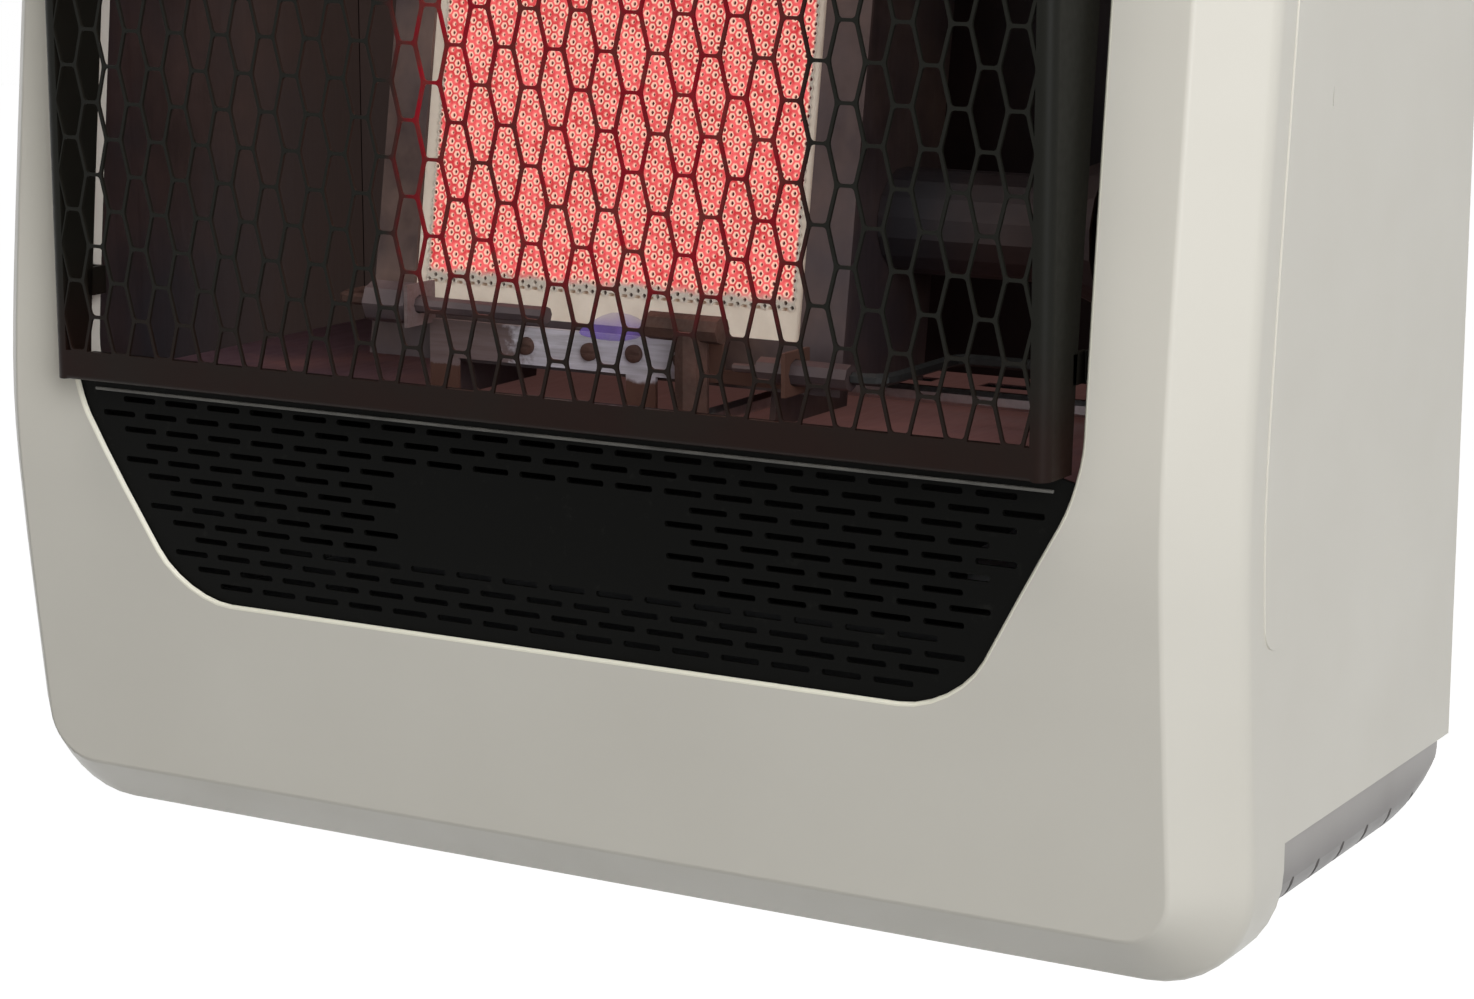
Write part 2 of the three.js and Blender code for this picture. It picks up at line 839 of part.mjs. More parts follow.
function grilleSlots() {
  const slots = [];
  const slope = (windowHalf - windowSillHalf) / (windowShoulder - windowSill);
  for (let row = 0; row < grilleRows; row += 1) {
    const z = grilleFirstRow - row * grilleRowPitch;
    const room = Math.min(windowHalf, windowSillHalf + (z - windowSill) * slope) - slotEdgeMargin;
    const shift = row % 2 === 0 ? 0 : slotPitch / 2;
    const side = Math.floor((room - slotLength / 2 - shift) / slotPitch);
    for (let k = row % 2 === 0 ? -side : -side - 1; k <= side; k += 1) {
      const x = k * slotPitch + shift;
      slots.push(box(x - slotLength / 2, x + slotLength / 2, -guardDepth, -seamDepth, z - slotHeight / 2,
        z + slotHeight / 2));
    }
  }
  return mergeGeometries(slots);
}

function lowerGrille() {
  const face = sheet + fitGap;
  const plate = roundedOutline(mirrored([
    [windowSillHalf + grilleMargin, windowSill - grilleMargin, windowSillRound],
    [windowHalf + grilleMargin - sheet, linerFloor - grilleMargin, 0],
    [windowHalf + grilleMargin - sheet, linerFloor, 0],
    [grilleNeckHalf, grilleNeckHeight, 0],
    [grilleNeckHalf, grilleTop, 0],
  ]));
  const solid = shared(
    cut(skinLayer(face), skinLayer(face + sheet, 2 * overrun)),
    alongY(plate, -guardDepth, -seamDepth),
  );
  return cut(solid, grilleSlots());
}

// Side panels, rear panel and wall bracket

function sidePanel(side) {
  const frontAt = (z) => seamAt(z) - seamOverlap;
  const wall = outline([[0, sideBottom], [0, sideTop], [frontAt(sideTop), sideTop],
    [frontAt(seamBreakHeight), seamBreakHeight], [frontAt(sideBottom), sideBottom]]);
  const [near, far] = side > 0 ? [sideInner, sideOuter] : [-sideOuter, -sideInner];
  const fold = side > 0
    ? box(sideOuter - sideReturn, sideOuter - sheet / 2, -sheet, 0, sideBottom, sideTop)
    : box(sheet / 2 - sideOuter, sideReturn - sideOuter, -sheet, 0, sideBottom, sideTop);
  const slits = [hookSlitLower, hookSlitUpper].map((z) => {
    const front = seamAt(z) + hookSlitSetback;
    return box(near - overrun, far + overrun, front, front + hookSlitWidth, z - hookSlitHeight / 2,
      z + hookSlitHeight / 2);
  });
  return cut(joined(alongX(wall, near, far), fold), ...slits);
}

function rearPanel() {
  const edge = sideInner - fitGap;
  const fold = sheet + fitGap;
  const plan = outline([
    [-edge, -fold], [-edge, -rearRecess - sheet], [edge, -rearRecess - sheet], [edge, -fold],
    [edge - sheet, -fold], [edge - sheet, -rearRecess], [sheet - edge, -rearRecess], [sheet - edge, -fold],
  ]);
  const tongue = box(-rearNeckHalf, rearNeckHalf, -rearRecess - sheet, -rearRecess, sideTop - overrun,
    coverUnder - fitGap);
  const slots = [-1, 1].map((side) => {
    const x = (side * hookSpacing) / 2;
    return box(x - hookHalf - fitGap, x + hookHalf + fitGap, -rearRecess - overrun, overrun - rearRecess,
      bracketMiddle - fitGap, bracketMiddle + bracketThickness + hookRise + fitGap);
  });
  return cut(joined(alongZ(plan, rearBottom, sideTop), tongue), ...slots);
}

function wallBracket() {
  const low = bracketMiddle - bracketHeight / 2;
  const high = bracketMiddle + bracketHeight / 2;
  const tip = -rearRecess - sheet - fitGap;
  const hooks = [-1, 1].flatMap((side) => {
    const x = (side * hookSpacing) / 2;
    return [
      box(x - hookHalf, x + hookHalf, tip - bracketThickness, -bracketThickness / 2, bracketMiddle,
        bracketMiddle + bracketThickness),
      box(x - hookHalf, x + hookHalf, tip - bracketThickness, tip, bracketMiddle,
        bracketMiddle + bracketThickness + hookRise),
    ];
  });
  const holes = [-1, 1].map((side) => layAlongY(rod(bracketHoleRadius, -overrun, overrun))
    .translate((side * bracketHoleSpacing) / 2, 0, bracketMiddle + bracketHeight / 4));
  return cut(joined(box(-bracketHalf, bracketHalf, -bracketThickness, 0, low, high), ...hooks), ...holes);
}

// Base pan: a shallow tray with rolled lower edges and slanted vents

function panLoop(half, rear, z, skin) {
  const right = [];
  const front = -panFront + skin;
  const side = half - skin;
  const back = rear - skin;
  const round = panCorner;
  right.push(at(side - round, front, z), at(side, front + round, z));
  for (let i = 0; i <= 2; i += 1) {
    const turn = (Math.PI / 2) * (i / 2);
    right.push(at(side - 2 * round * (1 - Math.cos(turn)), back - 2 * round * (1 - Math.sin(turn)), z));
  }
  const left = right.map((point) => at(-point.x, point.y, point.z)).reverse();
  return right.concat(left);
}

function panBlock(skin, topZ) {
  const half = sideInner - fitGap;
  const lower = half - panInset;
  const rear = -sheet - fitGap;
  const steps = [1, 2, 3].map((k) => {
    const turn = (Math.PI / 2) * (k / 3);
    return [panCurve * (1 - Math.cos(turn)), panCurve * Math.sin(turn)];
  });
  const loops = [
    panLoop(half, rear, topZ, skin),
    panLoop(half, rear, panShoulder, skin),
    panLoop(lower, rear, panShoulder - panInset, skin),
    panLoop(lower, rear, panBottom + panCurve, skin),
    ...steps.map(([inward, down]) => panLoop(lower - inward, rear - inward,
      panBottom + panCurve - down + skin * (down / panCurve), skin)),
  ];
  return loft(loops);
}

function basePan() {
  const shell = cut(panBlock(0, panTop), panBlock(sheet, panTop + overrun));
  const edge = sideInner - fitGap - panInset;
  const vents = [-1, 1].flatMap((side) => Array.from({ length: ventCount }, (_, i) => {
    const slot = new THREE.BoxGeometry(2 * panCurve, ventWidth, ventLength);
    slot.rotateX(ventTilt);
    return slot.translate(side * edge, ventPitch * i - ventFirst, panBottom + panCurve / 2);
  }));
  const inletHole = rod(inletRadius + fitGap, panBottom - overrun, panBottom + overrun)
    .translate(regulatorX, -regulatorDepth, 0);
  return cut(shell, ...vents, inletHole);
}

// Top cover: an arched sheet with rows of louvre slots and holes for the knob stem and the igniter

function topCover() {
  const low = sideTop + fitGap;
  const arch = (skin, foot) => outline(mirrored([
    [sideOuter - skin, foot],
    ...upperCorner(sideOuter - skin, coverTop - skin, coverRadius - skin),
  ]));
  const inside = alongY(arch(sheet, low - overrun), -casingHalf, overrun);
  const shell = cut(alongY(arch(0, low), -coverOverlap, 0), inside);
  const slots = [];
  for (let row = 0; row < louvreRows; row += 1) {
    for (let column = 0; column < louvreColumns; column += 1) {
      const x = louvreLeft + column * louvrePitchX;
      const y = -louvreRear - row * louvrePitchY;
      slots.push(box(x, x + louvreLength, y - louvreWidth / 2, y + louvreWidth / 2, coverUnder - overrun,
        coverTop + overrun));
    }
  }
  const stemHole = rod(knobHoleRadius, coverUnder - overrun, coverTop + overrun)
    .translate(controlX, -controlDepth, 0);
  const igniterHole = rod(igniterNeck + fitGap, coverUnder - overrun, coverTop + overrun)
    .translate(igniterX, -controlDepth, 0);
  return cut(shell, ...slots, stemHole, igniterHole);
}

// Firebox liner and heat deflector

function linerBack() {
  const half = linerHalf - fitGap;
  return box(-half, half, -linerBackDepth, sheet - linerBackDepth, linerFloor, linerTop);
}

function linerSide(side) {
  const frontAt = (z) => sheet + fitGap - frontDepth(z);
  const heights = profileLevels.filter((z) => z > linerFloor);
  const wall = outline([
    [-linerBackDepth, linerFloor], [-linerBackDepth, linerTop], [frontAt(linerTop), linerTop],
    ...heights.reverse().map((z) => [frontAt(z), z]), [frontAt(linerFloor) + grilleMargin, linerFloor],
  ]);
  const [near, far] = side > 0 ? [linerHalf, linerHalf + sheet] : [-linerHalf - sheet, -linerHalf];
  const plate = alongX(wall, near, far);
  if (side < 0) {
    return plate;
  }
  const end = burnerPoint(0, tubeSetback, tubeRise);
  return cut(
    plate,
    linerPort(supplyRadius, end.y, end.z),
    linerPort(pilotLineRadius, -pilotLineDepth, floorLine(pilotLineRadius)),
    linerPort(leadRadius, -coupleLeadDepth, floorLine(leadRadius)),
    linerPort(leadRadius, -sparkLeadDepth, electrodeHeight),
  );
}

function linerPort(radius, y, z) {
  return layAlongX(rod(radius + 2 * fitGap, linerHalf - overrun, linerHalf + overrun)).translate(0, y, z);
}

// The height of a line that runs just above the liner's floor
function floorLine(radius) {
  return linerFloor + sheet + 2 * fitGap + radius;
}

function linerFloorPlate() {
  const half = linerHalf - fitGap;
  const front = 2 * sheet + 2 * fitGap - frontDepth(linerFloor);
  const top = linerFloor + sheet;
  const plate = box(-half, half, front, -linerBackDepth - fitGap, linerFloor, top);
  const holes = [];
  for (let k = 0; k < floorHoleColumns; k += 1) {
    const x = (k - (floorHoleColumns - 1) / 2) * floorHolePitch;
    holes.push(box(x - floorHoleLength / 2, x + floorHoleLength / 2, -linerBackDepth - 2 * floorHoleWidth,
      -linerBackDepth - floorHoleWidth, linerFloor - overrun, top + overrun));
  }
  return cut(plate, ...holes);
}

function heatDeflector() {
  const half = linerHalf - fitGap;
  const back = -linerBackDepth - fitGap;
  const front = -deflectorReach;
  const side = outline([
    [back, deflectorRear], [front, deflectorFront],
    [front, deflectorFront + sheet], [back, deflectorRear + sheet],
  ]);
  return alongX(side, -half, half);
}

// Burner: everything in this group leans back with the plaque

const burner = new THREE.Group();
burner.position.set(0, -plaqueFace, plaqueFoot);
burner.rotation.x = -burnerLean;

// A point of the leaning burner in the heater's own frame
function burnerPoint(x, y, z) {
  const turn = -burnerLean;
  return at(x, y * Math.cos(turn) - z * Math.sin(turn) - plaqueFace,
    y * Math.sin(turn) + z * Math.cos(turn) + plaqueFoot);
}

// The height, in the leaning frame, of a level plane at a height in the heater's frame
function burnerHeight(y, height) {
  return (height - plaqueFoot + y * Math.sin(burnerLean)) / Math.cos(burnerLean);
}

function burnerFrameShape(half, low, high) {
  return outline([[-half, low], [half, low], [half, high], [-half, high]]);
}

function plaque() {
  return box(-plaqueHalf, plaqueHalf, fitGap, plaqueThickness, -plaqueLap, plaqueVisibleHeight + plaqueLap);
}

function gasket() {
  const inner = plaqueHalf + fitGap;
  const outer = inner + gasketWidth;
  const rise = outer - plaqueHalf;
  const shape = burnerFrameShape(outer, -plaqueLap - rise, plaqueVisibleHeight + plaqueLap + rise);
  shape.holes.push(burnerFrameShape(inner, -plaqueLap - fitGap, plaqueVisibleHeight + plaqueLap + fitGap));
  return alongY(shape, fitGap, plaqueThickness);
}

function plaqueFrame() {
  const outer = boxHalf + frameBorder;
  const shape = burnerFrameShape(outer, boxBottom - frameBorder, boxTop + frameBorder);
  shape.holes.push(burnerFrameShape(plaqueVisibleHalf, 0, plaqueVisibleHeight));
  return alongY(shape, -frameThickness, 0);
}

function burnerBox() {
  const tray = cut(
    alongY(burnerFrameShape(boxHalf, boxBottom, boxTop), fitGap, boxDepth),
    alongY(burnerFrameShape(boxHalf - sheet, boxBottom + sheet, boxTop - sheet), -overrun, boxDepth - sheet),
  );
  const ledge = alongY(burnerFrameShape(boxHalf - sheet / 2, boxBottom + sheet / 2, boxTop - sheet / 2),
    plaqueThickness + fitGap, plaqueThickness + fitGap + sheet);
  const mouth = alongY(burnerFrameShape(plaqueVisibleHalf, 0, plaqueVisibleHeight), 0, boxDepth - sheet);
  const inlet = layAlongX(rod(tubeBore, boxHalf - overrun, boxHalf + overrun))
    .translate(0, tubeSetback, tubeRise);
  return cut(joined(tray, cut(ledge, mouth)), inlet);
}

function mixingTube() {
  const start = boxHalf + fitGap;
  const outer = tubeBore + tubeWall;
  const bell = tubeEnd - bellLength;
  const profile = [[tubeBore, start], [outer, start], [outer, bell], [bellRadius, tubeEnd],
    [bellRadius - tubeWall, tubeEnd], [tubeBore, bell], [tubeBore, start]];
  return layAlongX(turned(profile)).translate(0, tubeSetback, tubeRise);
}

function burnerLeg(side) {
  const top = boxBottom - fitGap;
  const floor = linerFloor + sheet + fitGap;
  const shape = outline([[legFront, top], [legRear, top], [legRear, burnerHeight(legRear, floor)],
    [legFront, burnerHeight(legFront, floor)]]);
  const x = side * legHalf;
  return alongX(shape, x - legThickness / 2, x + legThickness / 2);
}

// A strap from the box's rear wall back to the liner
function burnerArm() {
  const start = burnerPoint(0, boxDepth + fitGap, armRise);
  const rise = armHeight * Math.tan(burnerLean);
  const end = -linerBackDepth - fitGap;
  const shape = outline([[start.y, start.z], [end, start.z], [end, start.z + armHeight],
    [start.y + rise, start.z + armHeight]]);
  return alongX(shape, -armHalf, armHalf);
}

// Orifice holder: a brass block with its jet aimed into the mixing tube, on a plate at the right liner
function orificeHolder() {
  const end = linerHalf - fitGap - sheet - fitGap;
  const start = end - orificeLength;
  const profile = [[jetBore, start - jetLength], [jetRadius, start - jetLength], [jetRadius, start],
    [orificeRadius, start], [orificeRadius, end], [jetBore, end], [jetBore, start - jetLength]];
  const middle = burnerPoint(0, tubeSetback, tubeRise);
  return layAlongX(turned(profile, tubeSides)).translate(0, middle.y, middle.z);
}

function orificePlate() {
  const middle = burnerPoint(0, tubeSetback, tubeRise);
  const far = linerHalf - fitGap;
  const half = holderPlate / 2;
  const plate = box(far - sheet, far, middle.y - half, middle.y + half, middle.z - half, middle.z + half);
  return cut(plate, layAlongX(rod(supplyRadius + fitGap, far - overrun, far + overrun, tubeSides))
    .translate(0, middle.y, middle.z));
}

// Pilot assembly below the plaque

// Y of the axis of the pieces held in front of the pilot bracket's plate
const pilotAxis = -pilotPlateDepth - pilotPlateThickness - fitGap - coupleNutRadius;

function pilotEar(x, height) {
  const back = -pilotPlateDepth;
  return box(x, x + pilotPlateThickness, pilotAxis - earReach / 2, back, height - earReach / 2,
    height + earReach / 2);
}

function pilotBracket() {
  const back = -pilotPlateDepth;
  const front = back - pilotPlateThickness;
  const thick = pilotPlateThickness;
  const plate = box(pilotPlateLeft, pilotPlateRight, front, back, pilotPlateBottom, pilotPlateTop);
  const floor = linerFloor + sheet + fitGap;
  const legs = [pilotPlateLeft, pilotLegRight - pilotLegWidth].flatMap((x) => [
    box(x, x + pilotLegWidth, front, back, floor, pilotPlateBottom + thick),
    box(x, x + pilotLegWidth, front, back + pilotFoot, floor, floor + thick),
  ]);
  const strip = box(pilotPlateRight - thick, electrodeEar + thick, front, back, pilotPlateBottom,
    pilotPlateBottom + electrodeStrip);
  const riser = box(pilotPlateLeft, pilotPlateLeft + thick, front, back, pilotPlateBottom,
    pilotHoodHeight + earReach / 2);
  const holes = [
    rodAlongX(coupleRadius + fitGap, pilotPlateLeft - overrun, pilotPlateLeft + overrun, pilotHoodHeight),
    rodAlongX(electrodeRadius + fitGap, electrodeEar - overrun, electrodeEar + overrun, electrodeHeight),
  ];
  return cut(joined(plate, ...legs, strip, riser, pilotEar(pilotPlateLeft, pilotHoodHeight),
    pilotEar(electrodeEar, electrodeHeight)), ...holes);
}

// A small round piece along X on the pilot's axis
function rodAlongX(radius, left, right, height) {
  return layAlongX(rod(radius, left, right, tubeSides)).translate(0, pilotAxis, height);
}

function pilotBurner() {
  const foot = linerFloor + sheet + 2 * fitGap;
  const body = rod(pilotBodyRadius, foot, pilotHoodHeight, tubeSides).translate(pilotX, pilotAxis, 0);
  return joined(body, rodAlongX(pilotHoodRadius, pilotHoodLeft, pilotHoodRight, pilotHoodHeight));
}

function thermocouple() {
  const ear = pilotPlateLeft - fitGap;
  return joined(
    rodAlongX(coupleNutRadius, ear - coupleNutLength, ear, pilotHoodHeight),
    rodAlongX(coupleRadius, ear - overrun, coupleTip, pilotHoodHeight),
  );
}

function sparkElectrode() {
  return joined(
    rodAlongX(electrodeRadius, electrodeLeft, electrodeRight, electrodeHeight),
    rodAlongX(electrodeWire, electrodeTip, electrodeLeft + overrun, electrodeHeight),
  );
}

// Gas valve, control shelf, stem, knob and igniter

// Moves a piece from the origin's axis to the axis of the knob or the igniter
function onControl(geometry, x) {
  return geometry.translate(x, -controlDepth, 0);
}

function gasValve() {
  const body = box(controlX - valveHalf, controlX + valveHalf, -controlDepth - valveDepthHalf,
    valveDepthHalf - controlDepth, valveBottom, valveTop);
  const boss = onControl(rod(bossRadius, valveTop - overrun, shelfHeight - fitGap), controlX);
  const neck = onControl(rod(neckRadius, valveTop - overrun, neckTop), controlX);
  const bore = onControl(rod(neckBore, stemFoot - pushTravel - 2 * fitGap, neckTop + overrun), controlX);
  return cut(joined(body, boss, neck), bore);
}

function controlShelf() {
  const back = -rearRecess - sheet - fitGap;
  const plate = box(shelfLeft, shelfRight, -shelfFront, back, shelfHeight, shelfHeight + shelfThickness);
  const shield = box(shelfLeft, shelfLeft + shelfThickness, -shelfFront, back, shieldBottom,
    shelfHeight + shelfThickness);
  const hanger = box(shelfLeft, controlX + valveHalf, back - shelfThickness, back, shelfHeight,
    coverUnder - fitGap);
  const holes = [
    onControl(rod(neckRadius + fitGap, shelfHeight - overrun, shelfHeight + overrun), controlX),
    onControl(rod(igniterRadius + fitGap, shelfHeight - overrun, shelfHeight + overrun), igniterX),
  ];
  return cut(joined(plate, shield, hanger), ...holes);
}

// A hexagon nut round a neck, its inner flats clear of the neck
function hexNut(radius, low) {
  const reach = 1 / Math.cos(Math.PI / nutSides);
  return ring((radius + fitGap) * reach, (radius + fitGap + nutWall) * reach, low, low + nutHeight, nutSides);
}

function igniterNut() {
  return hexNut(igniterNeck, coverTop + fitGap).translate(igniterX, -controlDepth, 0);
}

function valveNut() {
  const low = shelfHeight + shelfThickness + fitGap;
  return hexNut(neckRadius, low).translate(controlX, -controlDepth, 0);
}

function valveStem() {
  return rod(stemRadius, stemFoot, knobTop - knobSkirt, tubeSides).translate(controlX, -controlDepth, 0);
}

const collarTop = coverUnder - fitGap;

function stemCollar() {
  return ring(stemRadius + fitGap, collarRadius, collarTop - collarThickness, collarTop, tubeSides)
    .translate(controlX, -controlDepth, 0);
}

// A compression spring round an upright axis, ground flat at both ends
function compressionSpring(radius, low, high, turns, x) {
  const start = low + springWire;
  const rise = high - low - 2 * springWire;
  const points = [];
  const steps = turns * tubeSides;
  for (let i = 0; i <= steps; i += 1) {
    const turn = (i / tubeSides) * 2 * Math.PI;
    const z = start + (rise * i) / steps;
    points.push(at(x + radius * Math.cos(turn), radius * Math.sin(turn) - controlDepth, z));
  }
  return tubeAlong(new StepPath(points), springWire, leadSides);
}

function controlKnob() {
  const skirt = turned([[0, knobFoot], [knobRadius, knobFoot], [knobRadius, knobFoot + knobSkirt],
    [knobRadius - sheet, knobFoot + knobSkirt + sheet], [0, knobFoot + knobSkirt + sheet]]);
  const grip = box(-knobRadius + sheet, knobRadius - sheet, -knobGripHalf, knobGripHalf, knobFoot, knobTop);
  const round = turned([[0, knobFoot], [knobRadius - sheet, knobFoot], [knobRadius - knobGripHalf, knobTop],
    [0, knobTop]]);
  const bore = rod(stemRadius + fitGap, knobFoot - overrun, knobTop - knobSkirt + fitGap, tubeSides);
  return cut(joined(skirt, shared(grip, round)), bore).translate(controlX, -controlDepth, 0);
}

function igniterBody() {
  const barrel = rod(igniterRadius, igniterFoot, coverUnder - fitGap);
  const neck = rod(igniterNeck, igniterFoot, igniterTop);
  const bore = rod(buttonShaft + fitGap, igniterBoreFoot, igniterTop + overrun);
  return cut(joined(barrel, neck), bore).translate(igniterX, -controlDepth, 0);
}

function igniterButton() {
  return turned([[0, buttonFoot], [buttonShaft, buttonFoot], [buttonShaft, capFoot], [buttonRadius, capFoot],
    [buttonRadius, capFoot + buttonCap - sheet], [buttonRadius - sheet, capFoot + buttonCap],
    [0, capFoot + buttonCap]]).translate(igniterX, -controlDepth, 0);
}

// Regulator, its bracket and the inlet

function regulator() {
  const top = regulatorFoot + 2 * regulatorBodyHalf;
  const middle = regulatorFoot + regulatorBodyHalf;
  const dome = turned([[0, top - sheet], [regulatorRadius - sheet, top - sheet], [regulatorRadius, top],
    [regulatorRadius, top + regulatorHeight / 2], [regulatorRadius / 2, top + regulatorHeight],
    [0, top + regulatorHeight]]);
  const half = regulatorBodyHalf;
  const body = box(-half, half, -half, half, regulatorFoot, top);
  const outlet = layAlongX(rod(supplyRadius + sheet, 0, regulatorRadius, tubeSides)).translate(0, 0, middle);
  return joined(dome, body, outlet).translate(regulatorX, -regulatorDepth, 0);
}

function inletFitting() {
  return ring(inletBore, inletRadius, inletFoot, regulatorFoot - fitGap)
    .translate(regulatorX, -regulatorDepth, 0);
}

function regulatorBracket() {
  const floor = panBottom + sheet + fitGap;
  const back = -regulatorDepth + regulatorBodyHalf + fitGap;
  const high = regulatorFoot + regulatorBodyHalf;
  const half = regulatorBracketHalf;
  const thick = regulatorBracketThickness;
  const foot = box(-half, half, back, back + regulatorBracketFoot, floor, floor + thick);
  const wall = box(-half, half, back, back + thick, floor, high);
  return joined(foot, wall).translate(regulatorX, 0, 0);
}

// Tubes and leads in the channel between the liner and the right side panel

function supplyTube() {
  const middle = regulatorFoot + regulatorBodyHalf;
  return tubeAlong(bentPath([
    at(regulatorX + regulatorRadius + fitGap, -regulatorDepth, middle),
    at(channelOuter, -regulatorDepth, middle),
    at(channelOuter, -supplyPortDepth, supplyPortHeight),
    at(controlX + valveHalf + fitGap, -supplyPortDepth, supplyPortHeight),
  ], supplyBend), supplyRadius, tubeSides);
}

function burnerTube() {
  const end = burnerPoint(0, tubeSetback, tubeRise);
  return tubeAlong(bentPath([
    at(controlX + valveHalf + fitGap, -burnerPortDepth, burnerPortHeight),
    at(channelInner, -burnerPortDepth, burnerPortHeight),
    at(channelInner, -burnerLineDepth, end.z + burnerLineDrop),
    at(channelInner, end.y, end.z),
    at(linerHalf - fitGap - sheet, end.y, end.z),
  ], burnerBend), supplyRadius, tubeSides);
}

function pilotTube() {
  const height = floorLine(pilotLineRadius);
  return tubeAlong(bentPath([
    at(pilotPortX, -controlDepth - valveDepthHalf - fitGap, pilotPortHeight),
    at(pilotPortX, -pilotLineDepth, pilotPortHeight),
    at(channelOuter, -pilotLineDepth, pilotPortHeight),
    at(channelOuter, -pilotLineDepth, height),
    at(pilotX, -pilotLineDepth, height),
    at(pilotX, pilotAxis + pilotBodyRadius + fitGap, height),
  ], leadBend), pilotLineRadius, leadSides);
}

function thermocoupleLead() {
  const height = floorLine(leadRadius);
  return tubeAlong(bentPath([
    at(pilotPlateLeft - fitGap - coupleNutLength - fitGap, pilotAxis, pilotHoodHeight),
    at(-coupleLeadX, pilotAxis, pilotHoodHeight),
    at(-coupleLeadX, -coupleLeadDepth, pilotHoodHeight),
    at(-coupleLeadX, -coupleLeadDepth, height),
    at(channelOuter, -coupleLeadDepth, height),
    at(channelOuter, -coupleLeadDepth, couplePortHeight),
    at(couplePortX, -coupleLeadDepth, couplePortHeight),
    at(couplePortX, -controlDepth - valveDepthHalf - fitGap, couplePortHeight),
  ], leadBend), leadRadius, leadSides);
}

function igniterLead() {
  return tubeAlong(bentPath([
    at(electrodeRight + fitGap, pilotAxis, electrodeHeight),
    at(sparkLeadX, pilotAxis, electrodeHeight),
    at(sparkLeadX, -sparkLeadDepth, electrodeHeight),
    at(channelMiddle, -sparkLeadDepth, electrodeHeight),
    at(channelMiddle, -sparkLeadDepth, sparkLeadHeight),
    at(channelMiddle, -sparkLeadRun, sparkLeadHeight),
    at(igniterX, -sparkLeadRun, sparkLeadHeight),
    at(igniterX, -controlDepth, sparkLeadHeight),
    at(igniterX, -controlDepth, igniterFoot - fitGap),
  ], leadBend), leadRadius, leadSides);
}

heater.add(burner);
addPiece(heater, "front_panel", frontPanel(), enamel());
addPiece(heater, "guard_mesh", guardMesh(), guardFinish());
addPiece(heater, "guard_left_return", guardReturn(-1), guardFinish());
addPiece(heater, "guard_right_return", guardReturn(1), guardFinish());
addPiece(heater, "guard_top_return", guardTopReturn(), guardFinish());
addPiece(heater, "guard_hem", guardHemStrip(), guardFinish());
addPiece(heater, "lower_grille", lowerGrille(), blackPaint());
addPiece(heater, "left_side_panel", sidePanel(-1), enamel());
addPiece(heater, "right_side_panel", sidePanel(1), enamel());
addPiece(heater, "rear_panel", rearPanel(), galvanised());
addPiece(heater, "wall_bracket", wallBracket(), galvanised());
addPiece(heater, "base_pan", basePan(), enamel());
addPiece(heater, "top_cover", topCover(), enamel());
addPiece(heater, "liner_back", linerBack(), heatedSteel());
addPiece(heater, "liner_left", linerSide(-1), heatedSteel());
addPiece(heater, "liner_right", linerSide(1), heatedSteel());
addPiece(heater, "liner_floor", linerFloorPlate(), heatedSteel());
addPiece(heater, "heat_deflector", heatDeflector(), aluminisedSteel());
addPiece(burner, "ceramic_plaque", plaque(), ceramic());
addPiece(burner, "plaque_gasket", gasket(), fibre());
addPiece(burner, "plaque_frame", plaqueFrame(), aluminisedSteel());
addPiece(burner, "burner_box", burnerBox(), aluminisedSteel());
addPiece(burner, "mixing_tube", mixingTube(), aluminisedSteel());
addPiece(burner, "burner_leg_left", burnerLeg(-1), aluminisedSteel());
addPiece(burner, "burner_leg_right", burnerLeg(1), aluminisedSteel());
addPiece(heater, "burner_arm", burnerArm(), aluminisedSteel());
addPiece(heater, "orifice_holder", orificeHolder(), brass());
addPiece(heater, "orifice_plate", orificePlate(), galvanised());
addPiece(heater, "pilot_bracket", pilotBracket(), aluminisedSteel());
addPiece(heater, "pilot_burner", pilotBurner(), aluminisedSteel());
addPiece(heater, "thermocouple", thermocouple(), springSteel());
addPiece(heater, "spark_electrode", sparkElectrode(), porcelain());
addPiece(heater, "gas_valve", gasValve(), castAluminium());
addPiece(heater, "control_shelf", controlShelf(), galvanised());
addPiece(heater, "valve_nut", valveNut(), brass());
addPiece(heater, "valve_stem", valveStem(), brass());
addPiece(heater, "stem_collar", stemCollar(), brass());
addPiece(heater, "stem_spring", compressionSpring(stemSpringRadius, neckTop + fitGap,
  collarTop - collarThickness - fitGap, springTurns, controlX), springSteel());
addPiece(heater, "control_knob", controlKnob(), blackPlastic());
addPiece(heater, "igniter_body", igniterBody(), blackPlastic());
addPiece(heater, "igniter_spring", compressionSpring(buttonShaft - 2 * springWire, igniterBoreFoot + fitGap,
  buttonFoot - fitGap, igniterSpringTurns, igniterX), springSteel());
addPiece(heater, "igniter_button", igniterButton(), blackPlastic());
addPiece(heater, "regulator", regulator(), castAluminium());
addPiece(heater, "inlet_fitting", inletFitting(), brass());
addPiece(heater, "regulator_bracket", regulatorBracket(), galvanised());
addPiece(heater, "supply_tube", supplyTube(), castAluminium());
addPiece(heater, "burner_tube", burnerTube(), castAluminium());
addPiece(heater, "pilot_tube", pilotTube(), castAluminium());
addPiece(heater, "thermocouple_lead", thermocoupleLead(), brass());
addPiece(heater, "igniter_lead", igniterLead(), blackPlastic());
addPiece(heater, "igniter_nut", igniterNut(), springSteel());

export default heater;
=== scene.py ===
"""Looks of a wall-hung ventless gas heater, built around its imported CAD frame. Metres, row frame."""

import json
import logging
import math
from dataclasses import dataclass, field
from enum import Enum
from typing import Callable, Iterable, Sequence

import bmesh
import bpy
from mathutils import Matrix, Vector


